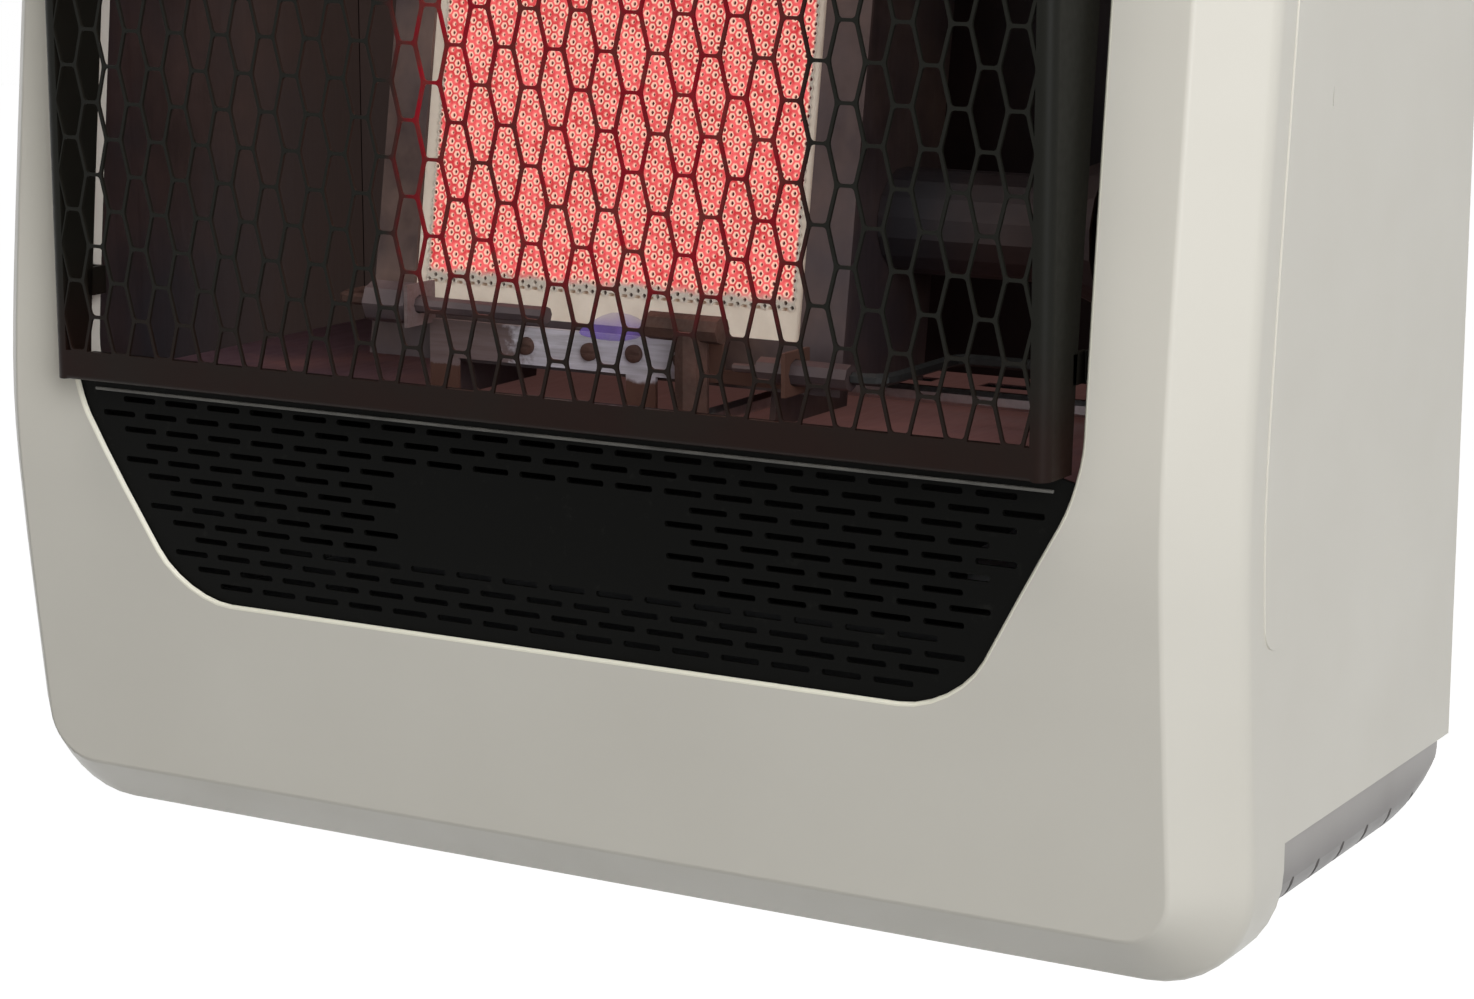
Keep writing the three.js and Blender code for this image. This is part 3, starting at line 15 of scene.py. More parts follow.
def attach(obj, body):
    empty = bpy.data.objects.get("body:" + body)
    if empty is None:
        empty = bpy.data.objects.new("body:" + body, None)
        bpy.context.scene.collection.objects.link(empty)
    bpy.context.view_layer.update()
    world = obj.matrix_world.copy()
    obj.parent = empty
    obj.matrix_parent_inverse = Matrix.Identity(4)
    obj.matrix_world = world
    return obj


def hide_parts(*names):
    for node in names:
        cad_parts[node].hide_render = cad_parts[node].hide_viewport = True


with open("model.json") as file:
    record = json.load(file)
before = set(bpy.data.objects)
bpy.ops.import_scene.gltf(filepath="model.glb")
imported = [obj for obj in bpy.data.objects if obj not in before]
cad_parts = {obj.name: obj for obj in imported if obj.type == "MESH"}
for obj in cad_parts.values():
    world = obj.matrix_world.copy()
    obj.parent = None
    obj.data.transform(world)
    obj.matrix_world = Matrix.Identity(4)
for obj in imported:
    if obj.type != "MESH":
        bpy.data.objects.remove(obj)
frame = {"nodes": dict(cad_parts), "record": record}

Point = tuple[float, float, float]
Colour = tuple[float, float, float]
Wall = tuple[str, float, float]
Fade = tuple[str, float, float]
Test = Callable[..., bool]
Socket = bpy.types.NodeSocket
Edge = bmesh.types.BMEdge
Face = bmesh.types.BMFace

log = logging.getLogger("heater")

FOOT = -0.420  # row height of the casing's lower edge
NEAR = 2e-5  # how near two places count as one
BLACK: Colour = (0.0, 0.0, 0.0)
TAB_HEIGHTS = (0.138, 0.345)  # of the guard's tabs and their slots, above the casing's lower edge
KNOB_X, IGNITER_X, CONTROL_Y = 0.108, 0.070, -0.036


def level(height: float) -> float:
    """Gives the row height of a height counted from the casing's lower edge."""
    return FOOT + height


class Side(Enum):
    """The two sides of the heater, seen from the front."""

    LEFT = -1
    RIGHT = 1


class Element(Enum):
    """What is picked on a piece: its points, its edges or its faces."""

    POINTS = ("VERT", "verts")
    EDGES = ("EDGE", "edges")
    FACES = ("FACE", "faces")


@dataclass(frozen=True)
class BowedLine:
    """The bowed line of the front: two leaning planes joined by a soft bend, and the seam behind it."""

    depth: float = 0.150
    bend_height: float = 0.105
    spread: float = 0.021
    upper_lean: float = 0.111
    lower_lean: float = 0.129
    seam_depth: float = 0.110
    seam_break: float = 0.064

    def face(self, z: float) -> float:
        """Gives Y of the front face at a row height.

        Args:
            z: The row height.

        Returns:
            Y of the face there.
        """
        rise = z - FOOT - self.bend_height
        away = math.hypot(rise, self.spread) - self.spread
        lean = (self.upper_lean + self.lower_lean) * away / 2
        return lean + (self.upper_lean - self.lower_lean) * rise / 2 - self.depth

    def seam(self, z: float) -> float:
        """Gives Y of the front panel's rear edge at a row height."""
        return self.upper_lean * max(0.0, z - FOOT - self.seam_break) - self.seam_depth

    def levels(self, low: float, high: float) -> list[float]:
        """Lists the row heights at which a bowed sheet is cut, finer round the bend.

        Args:
            low: Lowest height above the casing's lower edge.
            high: Highest height above the casing's lower edge.

        Returns:
            Row heights between the two, lowest first.
        """
        fine = [0.030 + 0.009 * i for i in range(5)]
        fine += [0.0885 + 0.009 * i for i in range(9)]
        coarse = [0.175, 0.195, 0.220, 0.260, 0.300, 0.340, 0.380, 0.410, 0.440, 0.465]
        return [level(h) for h in fine + coarse if low < h < high]


class Bench:
    """A piece on the bench: a primitive that edit-mode operators and modifiers turn into its shape."""

    def __init__(self, name: str) -> None:
        """Names the piece; its first primitive makes the object."""
        self.name = name
        self.object: bpy.types.Object | None = None

    def _adopt(self) -> "Bench":
        """Puts the new primitive's place into its mesh and opens it for editing with nothing picked.

        Returns:
            This bench.
        """
        self.object = bpy.context.active_object
        self.object.name = self.name
        self.object.data.name = self.name
        bpy.ops.object.transform_apply(location=True, rotation=True, scale=True)
        return self.open()

    def _clear(self) -> None:
        """Leaves edit mode and deselects every object."""
        if bpy.context.mode != "OBJECT":
            bpy.ops.object.mode_set(mode="OBJECT")
        bpy.ops.object.select_all(action="DESELECT")

    def block(self, low: Point, high: Point) -> "Bench":
        """Starts from a cube that fills a box.

        Args:
            low: Lowest corner.
            high: Highest corner.

        Returns:
            This bench.
        """
        self._clear()
        bpy.ops.mesh.primitive_cube_add(size=1, location=[(a + b) / 2 for a, b in zip(low, high)])
        bpy.context.active_object.scale = [b - a for a, b in zip(low, high)]
        return self._adopt()

    def drum(self, centre: Point, radius: float, length: float, sides: int, turn: Point = (0, 0, 0)) -> "Bench":
        """Starts from a cylinder.

        Args:
            centre: Its middle.
            radius: Its radius.
            length: Its length.
            sides: How many sides it has.
            turn: Its rotation from standing on Z, in radians.

        Returns:
            This bench.
        """
        self._clear()
        bpy.ops.mesh.primitive_cylinder_add(
            vertices=sides, radius=radius, depth=length, location=centre, rotation=turn)
        return self._adopt()

    def disc(self, centre: Point, radius: float, sides: int, turn: Point = (0, 0, 0)) -> "Bench":
        """Starts from a filled circle.

        Args:
            centre: Its middle.
            radius: Its radius.
            sides: How many sides it has.
            turn: Its rotation from lying flat, in radians.

        Returns:
            This bench.
        """
        self._clear()
        bpy.ops.mesh.primitive_circle_add(
            vertices=sides, radius=radius, fill_type="NGON", location=centre, rotation=turn)
        return self._adopt()

    def open(self) -> "Bench":
        """Opens the piece in edit mode with nothing picked.

        Returns:
            This bench.
        """
        self._clear()
        self.object.select_set(True)
        bpy.context.view_layer.objects.active = self.object
        bpy.ops.object.mode_set(mode="EDIT")
        bpy.ops.mesh.select_all(action="DESELECT")
        return self

    def close(self) -> "Bench":
        """Leaves edit mode with the piece selected and active.

        Returns:
            This bench.
        """
        self._clear()
        self.object.select_set(True)
        bpy.context.view_layer.objects.active = self.object
        return self

    def pick(self, element: Element, test: Test) -> int:
        """Selects the elements that pass a test and nothing else.

        Args:
            element: Points, edges or faces.
            test: Takes one element and says whether it is picked.

        Returns:
            How many are picked.
        """
        kind, parts = element.value
        bpy.ops.mesh.select_mode(type=kind)
        bpy.ops.mesh.select_all(action="DESELECT")
        mesh = bmesh.from_edit_mesh(self.object.data)
        found = [item for item in getattr(mesh, parts) if test(item)]
        for item in found:
            item.select_set(True)
        mesh.select_flush_mode()
        bmesh.update_edit_mesh(self.object.data)
        if not found:
            raise ValueError(f"{self.name}: nothing passes the test")
        return len(found)

    def pick_points(self, test: Test) -> int:
        """Selects the points that pass a test."""
        return self.pick(Element.POINTS, test)

    def pick_edges(self, test: Test) -> int:
        """Selects the edges that pass a test."""
        return self.pick(Element.EDGES, test)

    def pick_faces(self, test: Test) -> int:
        """Selects the faces that pass a test."""
        return self.pick(Element.FACES, test)

    def pick_along(self, axis: int, test: Test = lambda edge: True) -> int:
        """Selects the edges that run along an axis and pass a test.

        Args:
            axis: 0 for X, 1 for Y, 2 for Z.
            test: Takes an edge's middle.

        Returns:
            How many are picked.
        """
        def runs(edge: Edge) -> bool:
            """Says whether an edge runs along the axis at a place that passes.

            Args:
                edge: The edge.

            Returns:
                Whether it passes.
            """
            start, end = (point.co for point in edge.verts)
            way = end - start
            return abs(way[axis]) > 0.999 * way.length and test((start + end) / 2)
        return self.pick_edges(runs)

    def move(self, x: float = 0.0, y: float = 0.0, z: float = 0.0) -> None:
        """Moves what is picked."""
        bpy.ops.transform.translate(value=(x, y, z))

    def scale(self, factors: Point, centre: Point) -> None:
        """Scales what is picked about a point."""
        bpy.ops.transform.resize(value=factors, center_override=centre)

    def inset(self, width: float, depth: float = 0.0, each: bool = False) -> None:
        """Insets the picked faces.

        Args:
            width: How far in.
            depth: How far out of their plane.
            each: Whether each face is inset by itself.
        """
        bpy.ops.mesh.inset(thickness=width, depth=depth, use_even_offset=True, use_individual=each)

    def push(self, x: float = 0.0, y: float = 0.0, z: float = 0.0) -> None:
        """Extrudes what is picked."""
        bpy.ops.mesh.extrude_region_move(TRANSFORM_OT_translate={"value": (x, y, z)})

    def bevel(self, width: float, steps: int) -> None:
        """Rounds the picked edges."""
        bpy.ops.mesh.bevel(offset_type="OFFSET", offset=width, segments=steps, affect="EDGES",
                           clamp_overlap=True)

    def slice(self, place: Point, normal: Point, inner: bool = False, outer: bool = False) -> None:
        """Cuts the whole piece along a plane.

        Args:
            place: A point of the plane.
            normal: The plane's normal.
            inner: Whether what is behind the plane goes.
            outer: Whether what is before the plane goes.
        """
        bpy.ops.mesh.select_mode(type="VERT")
        bpy.ops.mesh.select_all(action="SELECT")
        bpy.ops.mesh.bisect(plane_co=place, plane_no=normal, use_fill=False, clear_inner=inner,
                            clear_outer=outer, threshold=1e-6)

    def drop(self) -> None:
        """Deletes the picked faces."""
        bpy.ops.mesh.delete(type="FACE")

    def weld(self, reach: float = 1e-5) -> None:
        """Merges points that lie on each other and turns every face outwards.

        Args:
            reach: How near two points count as one.
        """
        bpy.ops.mesh.select_all(action="SELECT")
        bpy.ops.mesh.remove_doubles(threshold=reach)
        bpy.ops.mesh.normals_make_consistent(inside=False)
        bpy.ops.mesh.select_all(action="DESELECT")

    def look_forward(self) -> None:
        """Turns a flat surface so that its faces look to the front."""
        mesh = bmesh.from_edit_mesh(self.object.data)
        if sum(face.normal.y for face in mesh.faces) > 0:
            bpy.ops.mesh.select_all(action="SELECT")
            bpy.ops.mesh.flip_normals()

    def follow(self, start: float, target: Callable[[float], float]) -> None:
        """Moves a plane of points, level by level, to a depth that depends on the height.

        Args:
            start: Y that the points have now.
            target: Gives their new Y from their row height.
        """
        mesh = bmesh.from_edit_mesh(self.object.data)
        heights = sorted({round(p.co.z, 5) for p in mesh.verts if abs(p.co.y - start) < NEAR})
        for height in heights:
            self.pick_points(lambda p: abs(p.co.y - start) < NEAR and abs(p.co.z - height) < 6e-6)
            self.move(y=target(height) - start)

    def modify(self, kind: str, **settings: object) -> "Bench":
        """Adds a modifier and applies it.

        Args:
            kind: The modifier's type.
            settings: Its settings.

        Returns:
            This bench.
        """
        self.close()
        bpy.ops.object.modifier_add(type=kind)
        modifier = self.object.modifiers[-1]
        for setting, value in settings.items():
            setattr(modifier, setting, value)
        bpy.ops.object.modifier_apply(modifier=modifier.name)
        return self

    def row(self, count: int, step: Point) -> "Bench":
        """Copies the piece in a row."""
        return self.modify("ARRAY", count=count, use_relative_offset=False, use_constant_offset=True,
                           constant_offset_displace=step)

    def thicken(self, sheet: float, outwards: bool = False, lining: int = 0) -> "Bench":
        """Gives a surface its sheet thickness.

        Args:
            sheet: The thickness.
            outwards: Whether it grows outwards instead of inwards.
            lining: How many finishes further the new inner side wears.

        Returns:
            This bench.
        """
        return self.modify("SOLIDIFY", thickness=sheet, offset=1.0 if outwards else -1.0, use_even_offset=True,
                           material_offset=lining)

    def soften(self, width: float, steps: int = 2, angle: float = 40.0) -> "Bench":
        """Rounds every edge sharper than an angle in degrees."""
        return self.modify("BEVEL", width=width, segments=steps, limit_method="ANGLE",
                           angle_limit=math.radians(angle), harden_normals=False)

    def subtract(self, tool: "Bench") -> "Bench":
        """Cuts another piece out of this one and removes it.

        Args:
            tool: The piece that is cut out.

        Returns:
            This bench.
        """
        tool.close()
        self.modify("BOOLEAN", operation="DIFFERENCE", solver="EXACT", object=tool.object)
        bpy.data.objects.remove(tool.object)
        return self

    def copies(self, places: Iterable[Point]) -> "Bench":
        """Replaces the piece by copies of it, each moved and with its own mesh, joined into one.

        Args:
            places: How far each copy is moved.

        Returns:
            This bench.
        """
        self.close()
        made = []
        for place in places:
            twin = self.object.copy()
            twin.data = self.object.data.copy()
            twin.data.transform(Matrix.Translation(place))
            bpy.context.scene.collection.objects.link(twin)
            made.append(twin)
        bpy.data.objects.remove(self.object)
        self.object = made[0]
        self._join(made)
        self.object.name = self.name
        return self

    def take(self, *others: "Bench") -> "Bench":
        """Joins other pieces into this one."""
        return self._join([other.object for other in others])

    def _join(self, objects: Iterable[bpy.types.Object]) -> "Bench":
        """Joins objects into the piece.

        Args:
            objects: The objects that join it.

        Returns:
            This bench.
        """
        self.close()
        for item in objects:
            item.select_set(True)
        bpy.ops.object.join()
        return self

    def place(self, matrix: Matrix) -> "Bench":
        """Moves the finished piece by a matrix and puts that into its mesh.

        Args:
            matrix: The move.

        Returns:
            This bench.
        """
        self.close()
        self.object.matrix_world = matrix
        bpy.ops.object.transform_apply(location=True, rotation=True, scale=True)
        return self

    def coat(self, *finishes: "Finish") -> "Bench":
        """Gives the piece its finishes; its faces wear the first one until an operator says otherwise.

        Args:
            finishes: The finishes, in the order of their slots.

        Returns:
            This bench.
        """
        self.object.data.materials.clear()
        for finish in finishes:
            self.object.data.materials.append(finish.material())
        return self

    def wear(self, finish: "Finish") -> None:
        """Gives the picked faces a finish of their own.

        Args:
            finish: The finish.
        """
        self.object.data.materials.append(finish.material())
        self.object.active_material_index = len(self.object.data.materials) - 1
        bpy.ops.object.material_slot_assign()

    def dress(self, body: str, slot: str, replaces: Sequence[str] = (),
              angle: float = 30.0) -> bpy.types.Object:
        """Shades the coated piece and ties it to its CAD body.

        Args:
            body: The CAD body it rides on.
            slot: The record's material slot; not used.
            replaces: The CAD nodes it stands for.
            angle: Edges flatter than this many degrees are shaded smooth.

        Returns:
            The finished object.
        """
        self.close()
        bpy.ops.object.shade_smooth_by_angle(angle=math.radians(angle))
        self.modify("WEIGHTED_NORMAL", keep_sharp=True, weight=80)
        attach(self.object, body)
        if replaces:
            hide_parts(*replaces)
        log.info("%s: %d faces on %s", self.object.name, len(self.object.data.polygons), body)
        bpy.ops.object.select_all(action="DESELECT")
        return self.object


class Recipe:
    """Builds the nodes of one finish around its shader."""

    # near-black inner coat of the sheets; it also stands as painted shade inside the casing
    inside_coat_and_shade: Colour = (0.022, 0.021, 0.020)
    rear_fold: tuple[float, float] = (-0.0015, -0.0012)

    def __init__(self, name: str) -> None:
        """Makes an empty material with its shader.

        Args:
            name: The material's name.
        """
        self.made = bpy.data.materials.new(name)
        self.made.use_nodes = True
        self.nodes = self.made.node_tree.nodes
        self.links = self.made.node_tree.links
        self.shader = self.nodes["Principled BSDF"]
        self.spot = self.nodes.new("ShaderNodeTexCoord").outputs["Object"]

    def fixed(self, **values: float | Colour) -> "Recipe":
        """Sets the shader's own sockets, named with underscores for spaces.

        Args:
            values: The value of each socket.

        Returns:
            This recipe.
        """
        for name, value in values.items():
            socket = self.shader.inputs[name.replace("_", " ")]
            socket.default_value = (*value, 1.0) if isinstance(value, tuple) else value
        return self

    def feed(self, name: str, source: Socket) -> "Recipe":
        """Links a source to one of the shader's sockets."""
        self.links.new(source, self.shader.inputs[name])
        return self

    def stretched(self, x: float, y: float, z: float) -> Socket:
        """Gives the object's coordinates, scaled along each axis.

        Args:
            x: The scale along X.
            y: The scale along Y.
            z: The scale along Z.

        Returns:
            The scaled coordinates.
        """
        node = self.nodes.new("ShaderNodeMapping")
        node.inputs["Scale"].default_value = (x, y, z)
        self.links.new(self.spot, node.inputs["Vector"])
        return node.outputs["Vector"]

    def noise(self, scale: float, detail: float = 2.0, rough: float = 0.5,
              at: Socket | None = None) -> Socket:
        """Gives a cloudy pattern from 0 to 1.

        Args:
            scale: How many features a metre holds.
            detail: How many finer layers it has.
            rough: How strong the finer layers are.
            at: The coordinates, or the object's own.

        Returns:
            The pattern's value.
        """
        node = self.nodes.new("ShaderNodeTexNoise")
        node.inputs["Scale"].default_value = scale
        node.inputs["Detail"].default_value = detail
        node.inputs["Roughness"].default_value = rough
        self.links.new(at or self.spot, node.inputs["Vector"])
        return node.outputs["Fac"]

    def cells(self, scale: float) -> Socket:
        """Gives a pattern of crystals, each with a colour of its own.

        Args:
            scale: How many crystals a metre holds.

        Returns:
            The colour of each crystal.
        """
        node = self.nodes.new("ShaderNodeTexVoronoi")
        node.inputs["Scale"].default_value = scale
        self.links.new(self.spot, node.inputs["Vector"])
        return node.outputs["Color"]

    def grades(self, source: Socket, *stops: tuple[float, Colour]) -> Socket:
        """Turns a value into a colour that passes through stops.

        Args:
            source: The value.
            stops: Places from 0 to 1, each with its colour.

        Returns:
            The colour.
        """
        node = self.nodes.new("ShaderNodeValToRGB")
        ramp = node.color_ramp.elements
        while len(ramp) < len(stops):
            ramp.new(0.5)
        for element, (spot, colour) in zip(ramp, stops):
            element.position = spot
            element.color = (*colour, 1.0)
        self.links.new(source, node.inputs["Fac"])
        return node.outputs["Color"]

    def span(self, source: Socket, low: float, high: float, to_low: float, to_high: float,
             smooth: bool = False) -> Socket:
        """Maps a range of values to another range, clamped.

        Args:
            source: The value.
            low: The value that gives the first result.
            high: The value that gives the second result.
            to_low: The first result.
            to_high: The second result.
            smooth: Whether the ends are eased.

        Returns:
            The mapped value.
        """
        node = self.nodes.new("ShaderNodeMapRange")
        node.interpolation_type = "SMOOTHSTEP" if smooth else "LINEAR"
        for name, value in zip(("From Min", "From Max", "To Min", "To Max"), (low, high, to_low, to_high)):
            node.inputs[name].default_value = value
        self.links.new(source, node.inputs["Value"])
        return node.outputs["Result"]

    def fade(self, source: Socket, start: float, full: float) -> Socket:
        """Gives a soft share, 0 where the source is at its start and 1 where it is full."""
        return self.span(source, start, full, 0.0, 1.0, True)

    def within(self, *fades: Fade) -> Socket:
        """Gives a soft share that is 1 within planes, each an axis, where it starts and where it is full."""
        return self.times(*(self.fade(self.along(axis), start, full) for axis, start, full in fades))

    def blend(self, share: Socket, first: Socket | Colour, second: Socket | Colour) -> Socket:
        """Mixes two colours by a share.

        Args:
            share: How much of the second colour shows.
            first: The first colour.
            second: The second colour.

        Returns:
            The mixed colour.
        """
        node = self.nodes.new("ShaderNodeMix")
        node.data_type = "RGBA"
        self.links.new(share, node.inputs[0])
        for index, colour in ((6, first), (7, second)):
            if isinstance(colour, tuple):
                node.inputs[index].default_value = (*colour, 1.0)
            else:
                self.links.new(colour, node.inputs[index])
        return node.outputs[2]

    def reckon(self, how: str, first: Socket, second: Socket | float = 0.0) -> Socket:
        """Gives the result of a sum on one or two values.

        Args:
            how: The operation.
            first: The first value.
            second: The second value.

        Returns:
            The result.
        """
        node = self.nodes.new("ShaderNodeMath")
        node.operation = how
        self.links.new(first, node.inputs[0])
        if isinstance(second, float):
            node.inputs[1].default_value = second
        else:
            self.links.new(second, node.inputs[1])
        return node.outputs[0]

    def times(self, first: Socket, *factors: Socket | float) -> Socket:
        """Multiplies a value by every factor.

        Args:
            first: The value.
            factors: What it is multiplied by.

        Returns:
            The product.
        """
        for factor in factors:
            first = self.reckon("MULTIPLY", first, factor)
        return first

    def along(self, axis: str) -> Socket:
        """Gives one coordinate of the object.

        Args:
            axis: X, Y or Z.

        Returns:
            The coordinate.
        """
        node = self.nodes.new("ShaderNodeSeparateXYZ")
        self.links.new(self.spot, node.inputs[0])
        return node.outputs[axis]

    def inner(self, tone: Socket, wall: Wall | None) -> Socket:
        """Darkens the side of a sheet that looks into the casing: a near-black inner coat that also paints the
        shade inside the casing.

        Args:
            tone: The colour of the outer side.
            wall: The axis that the sheet faces, and how far along it the outer and the inner side lie, or None.

        Returns:
            The colour with its dark inner side.
        """
        if wall is None:
            return tone
        axis, outer, inside = wall
        # painted shade: the side of the sheet inside the casing turns near-black
        away = self.reckon("ABSOLUTE", self.along(axis))
        before_fold = self.span(self.along("Y"), *self.rear_fold, 1.0, 0.0)
        share = self.times(before_fold, self.span(away, outer, inside, 0.0, 1.0))
        return self.blend(share, tone, self.inside_coat_and_shade)

    def mark(self, name: str) -> Socket:
        """Gives a value that the piece's mesh carries.

        Args:
            name: The name of the mesh's attribute.

        Returns:
            The value.
        """
        node = self.nodes.new("ShaderNodeAttribute")
        node.attribute_name = name
        return node.outputs["Fac"]

    def relief(self, height: Socket, depth: float, strength: float = 1.0,
               under: Socket | None = None) -> Socket:
        """Raises the surface by a pattern.

        Args:
            height: The pattern.
            depth: How high it stands, in metres.
            strength: How much of it shows.
            under: A relief that this one lies on.

        Returns:
            The normal of the surface.
        """
        node = self.nodes.new("ShaderNodeBump")
        node.inputs["Distance"].default_value = depth
        node.inputs["Strength"].default_value = strength
        self.links.new(height, node.inputs["Height"])
        if under is not None:
            self.links.new(under, node.inputs["Normal"])
        return node.outputs["Normal"]


@dataclass(frozen=True)
class Finish:
    """A finish; its material is made once and shared by every piece that wears it."""

    name: str

    def material(self) -> bpy.types.Material:
        """Gives the finish's material, made at the first call.

        Returns:
            The material.
        """
        found = bpy.data.materials.get(self.name)
        if found is None:
            recipe = Recipe(self.name)
            self.mix(recipe)
            found = recipe.made
        return found

    def mix(self, recipe: Recipe) -> None:
        """Fills in the recipe."""
        raise NotImplementedError


@dataclass(frozen=True)
class Enamel(Finish):
    """Warm stove enamel: faint clouds and orange peel; on a pan, painted shade darkens it where it turns under
    and a painted shadow band lies above its shoulder fold.
    """

    light: Colour = (0.68, 0.655, 0.59)
    shade: Colour = (0.63, 0.603, 0.54)
    speck: Colour = (0.40, 0.39, 0.35)
    peel: float = 0.000012
    wall: Wall | None = None
    shade_fall: Colour | None = None
    turning_shade: Fade = ("Z", level(0.0295), level(0.0125))
    fold: Fade = ("Z", level(0.0298), level(0.0306))
    fold_shadow_share: float = 0.8

    def mix(self, recipe: Recipe) -> None:
        """Fills in the recipe.

        Args:
            recipe: The recipe of its material.
        """
        tone = recipe.grades(recipe.noise(9.0, 3.0, 0.55), (0.3, self.shade), (0.7, self.light))
        # painted shade: darker towards the rolled lower edge, and a painted shadow band above the shoulder
        # fold, under the side panels' edge
        if self.shade_fall is not None:
            tone = recipe.blend(recipe.within(self.turning_shade), tone, self.shade_fall)
            tone = recipe.blend(recipe.times(recipe.within(self.fold), self.fold_shadow_share), tone, self.shade_fall)
        specks = recipe.span(recipe.noise(1400.0, 2.0, 0.6), 0.76, 0.84, 0.0, 0.25)
        recipe.feed("Base Color", recipe.inner(recipe.blend(specks, tone, self.speck), self.wall))
        recipe.feed("Roughness", recipe.span(recipe.noise(60.0, 3.0), 0.3, 0.7, 0.30, 0.40))
        wave = recipe.relief(recipe.noise(14.0, 1.0), 0.00045, 0.35)
        recipe.feed("Normal", recipe.relief(recipe.noise(700.0, 2.0), self.peel, 0.6, wave))
        recipe.fixed(Coat_Weight=0.05, Coat_Roughness=0.16, Specular_IOR_Level=0.22)


@dataclass(frozen=True)
class GuardPaint(Finish):
    """Dark heat-resistant paint, browned along its lower rail, with a painted red glow in colour and emission
    before the fire.
    """

    cold: Colour = (0.0095, 0.0095, 0.0075)
    brown: Colour = (0.0128, 0.0056, 0.0042)
    # the next three colours paint the fire's red glow onto the wires, in base colour and emission
    glow: Colour = (0.17, 0.0035, 0.009)
    painted_glow_dark: Colour = (0.075, 0.019, 0.015)
    light: Colour = (0.060, 0.0012, 0.0035)
    rail: Fade = ("Z", level(0.150), level(0.116))
    fire: tuple[Fade, ...] = (("X", 0.078, 0.066), ("X", -0.034, -0.022),
                              ("Z", level(0.136), level(0.160)), ("Z", level(0.300), level(0.265)))

    def mix(self, recipe: Recipe) -> None:
        """Fills in the recipe.

        Args:
            recipe: The recipe of its material.
        """
        patches = recipe.span(recipe.noise(24.0, 4.0), 0.25, 0.6, 0.35, 1.0)
        tone = recipe.blend(recipe.times(recipe.within(self.rail), patches), self.cold, self.brown)
        # painted glow: red colour and emission on the wires before the fire
        painted_glow_flicker = recipe.span(recipe.noise(55.0, 2.0), 0.3, 0.6, 0.5, 1.0)
        heat = recipe.times(recipe.within(*self.fire), painted_glow_flicker)
        painted_glow_tone = recipe.grades(recipe.noise(210.0, 2.0), (0.40, self.painted_glow_dark), (0.58, self.glow))
        recipe.feed("Base Color", recipe.blend(heat, tone, painted_glow_tone))
        recipe.feed("Emission Color", recipe.blend(heat, BLACK, self.light))
        recipe.feed("Roughness", recipe.span(recipe.noise(420.0, 3.0), 0.3, 0.7, 0.34, 0.48))
        recipe.feed("Normal", recipe.relief(recipe.noise(2600.0, 2.0), 0.00002, 0.5))
        recipe.fixed(Specular_IOR_Level=0.09, Emission_Strength=1.0)


@dataclass(frozen=True)
class BlackPaint(Finish):
    """Black satin paint with fine grit and patches of lint."""

    base: Colour = (0.0034, 0.0034, 0.0030)
    lint: Colour = (0.016, 0.016, 0.014)

    def mix(self, recipe: Recipe) -> None:
        """Fills in the recipe.

        Args:
            recipe: The recipe of its material.
        """
        dust = recipe.span(recipe.noise(240.0, 4.0, 0.7), 0.62, 0.80, 0.0, 0.8)
        recipe.feed("Base Color", recipe.blend(dust, self.base, self.lint))
        recipe.feed("Roughness", recipe.span(recipe.noise(35.0, 3.0), 0.3, 0.7, 0.40, 0.55))
        recipe.feed("Normal", recipe.relief(recipe.noise(3200.0, 2.0), 0.000018, 0.5))
        recipe.fixed(Specular_IOR_Level=0.05)


@dataclass(frozen=True)
class Sheet(Finish):
    """Bare sheet metal with crystals, rolling marks or heat tint, faintly lit beside the fire."""

    light: Colour
    dark: Colour
    roughness: tuple[float, float] = (0.30, 0.45)
    metallic: float = 0.9
    grain: Point = (30.0, 900.0, 900.0)
    crystals: float = 0.0
    tint: Colour | None = None
    wall: Wall | None = None
    radiance: Colour | None = None
    beside_fire: tuple[Fade, ...] = ()

    def mix(self, recipe: Recipe) -> None:
        """Fills in the recipe.

        Args:
            recipe: The recipe of its material.
        """
        marks = recipe.noise(1.0, 3.0, 0.6, recipe.stretched(*self.grain))
        tone = recipe.grades(recipe.noise(38.0, 4.0, 0.6), (0.32, self.dark), (0.68, self.light))
        if self.crystals:
            spangle = recipe.grades(recipe.cells(self.crystals), (0.2, self.dark), (0.8, self.light))
            tone = recipe.blend(recipe.span(marks, 0.2, 0.8, 0.35, 0.75), tone, spangle)
        if self.tint is not None:
            clouds = recipe.span(recipe.noise(11.0, 5.0, 0.6), 0.42, 0.62, 0.0, 1.0)
            tone = recipe.blend(clouds, tone, self.tint)
        recipe.feed("Base Color", recipe.inner(tone, self.wall))
        recipe.feed("Roughness", recipe.span(marks, 0.25, 0.75, *self.roughness))
        recipe.feed("Normal", recipe.relief(marks, 0.00003, 0.35))
        if self.radiance is not None:
            recipe.feed("Emission Color", recipe.blend(recipe.within(*self.beside_fire), BLACK, self.radiance))
            recipe.fixed(Emission_Strength=1.0)
        recipe.fixed(Metallic=self.metallic)


@dataclass(frozen=True)
class Turned(Finish):
    """Turned or drawn metal: fine rings round its axis and a slightly dulled skin."""

    light: Colour
    dark: Colour
    roughness: tuple[float, float] = (0.22, 0.38)
    rings: Point = (60.0, 60.0, 2600.0)

    def mix(self, recipe: Recipe) -> None:
        """Fills in the recipe.

        Args:
            recipe: The recipe of its material.
        """
        marks = recipe.noise(1.0, 2.0, 0.5, recipe.stretched(*self.rings))
        dull = recipe.noise(120.0, 4.0, 0.65)
        recipe.feed("Base Color", recipe.grades(dull, (0.35, self.dark), (0.62, self.light)))
        recipe.feed("Roughness", recipe.span(dull, 0.3, 0.7, self.roughness[1], self.roughness[0]))
        recipe.feed("Normal", recipe.relief(marks, 0.00002, 0.4))
        recipe.fixed(Metallic=1.0)


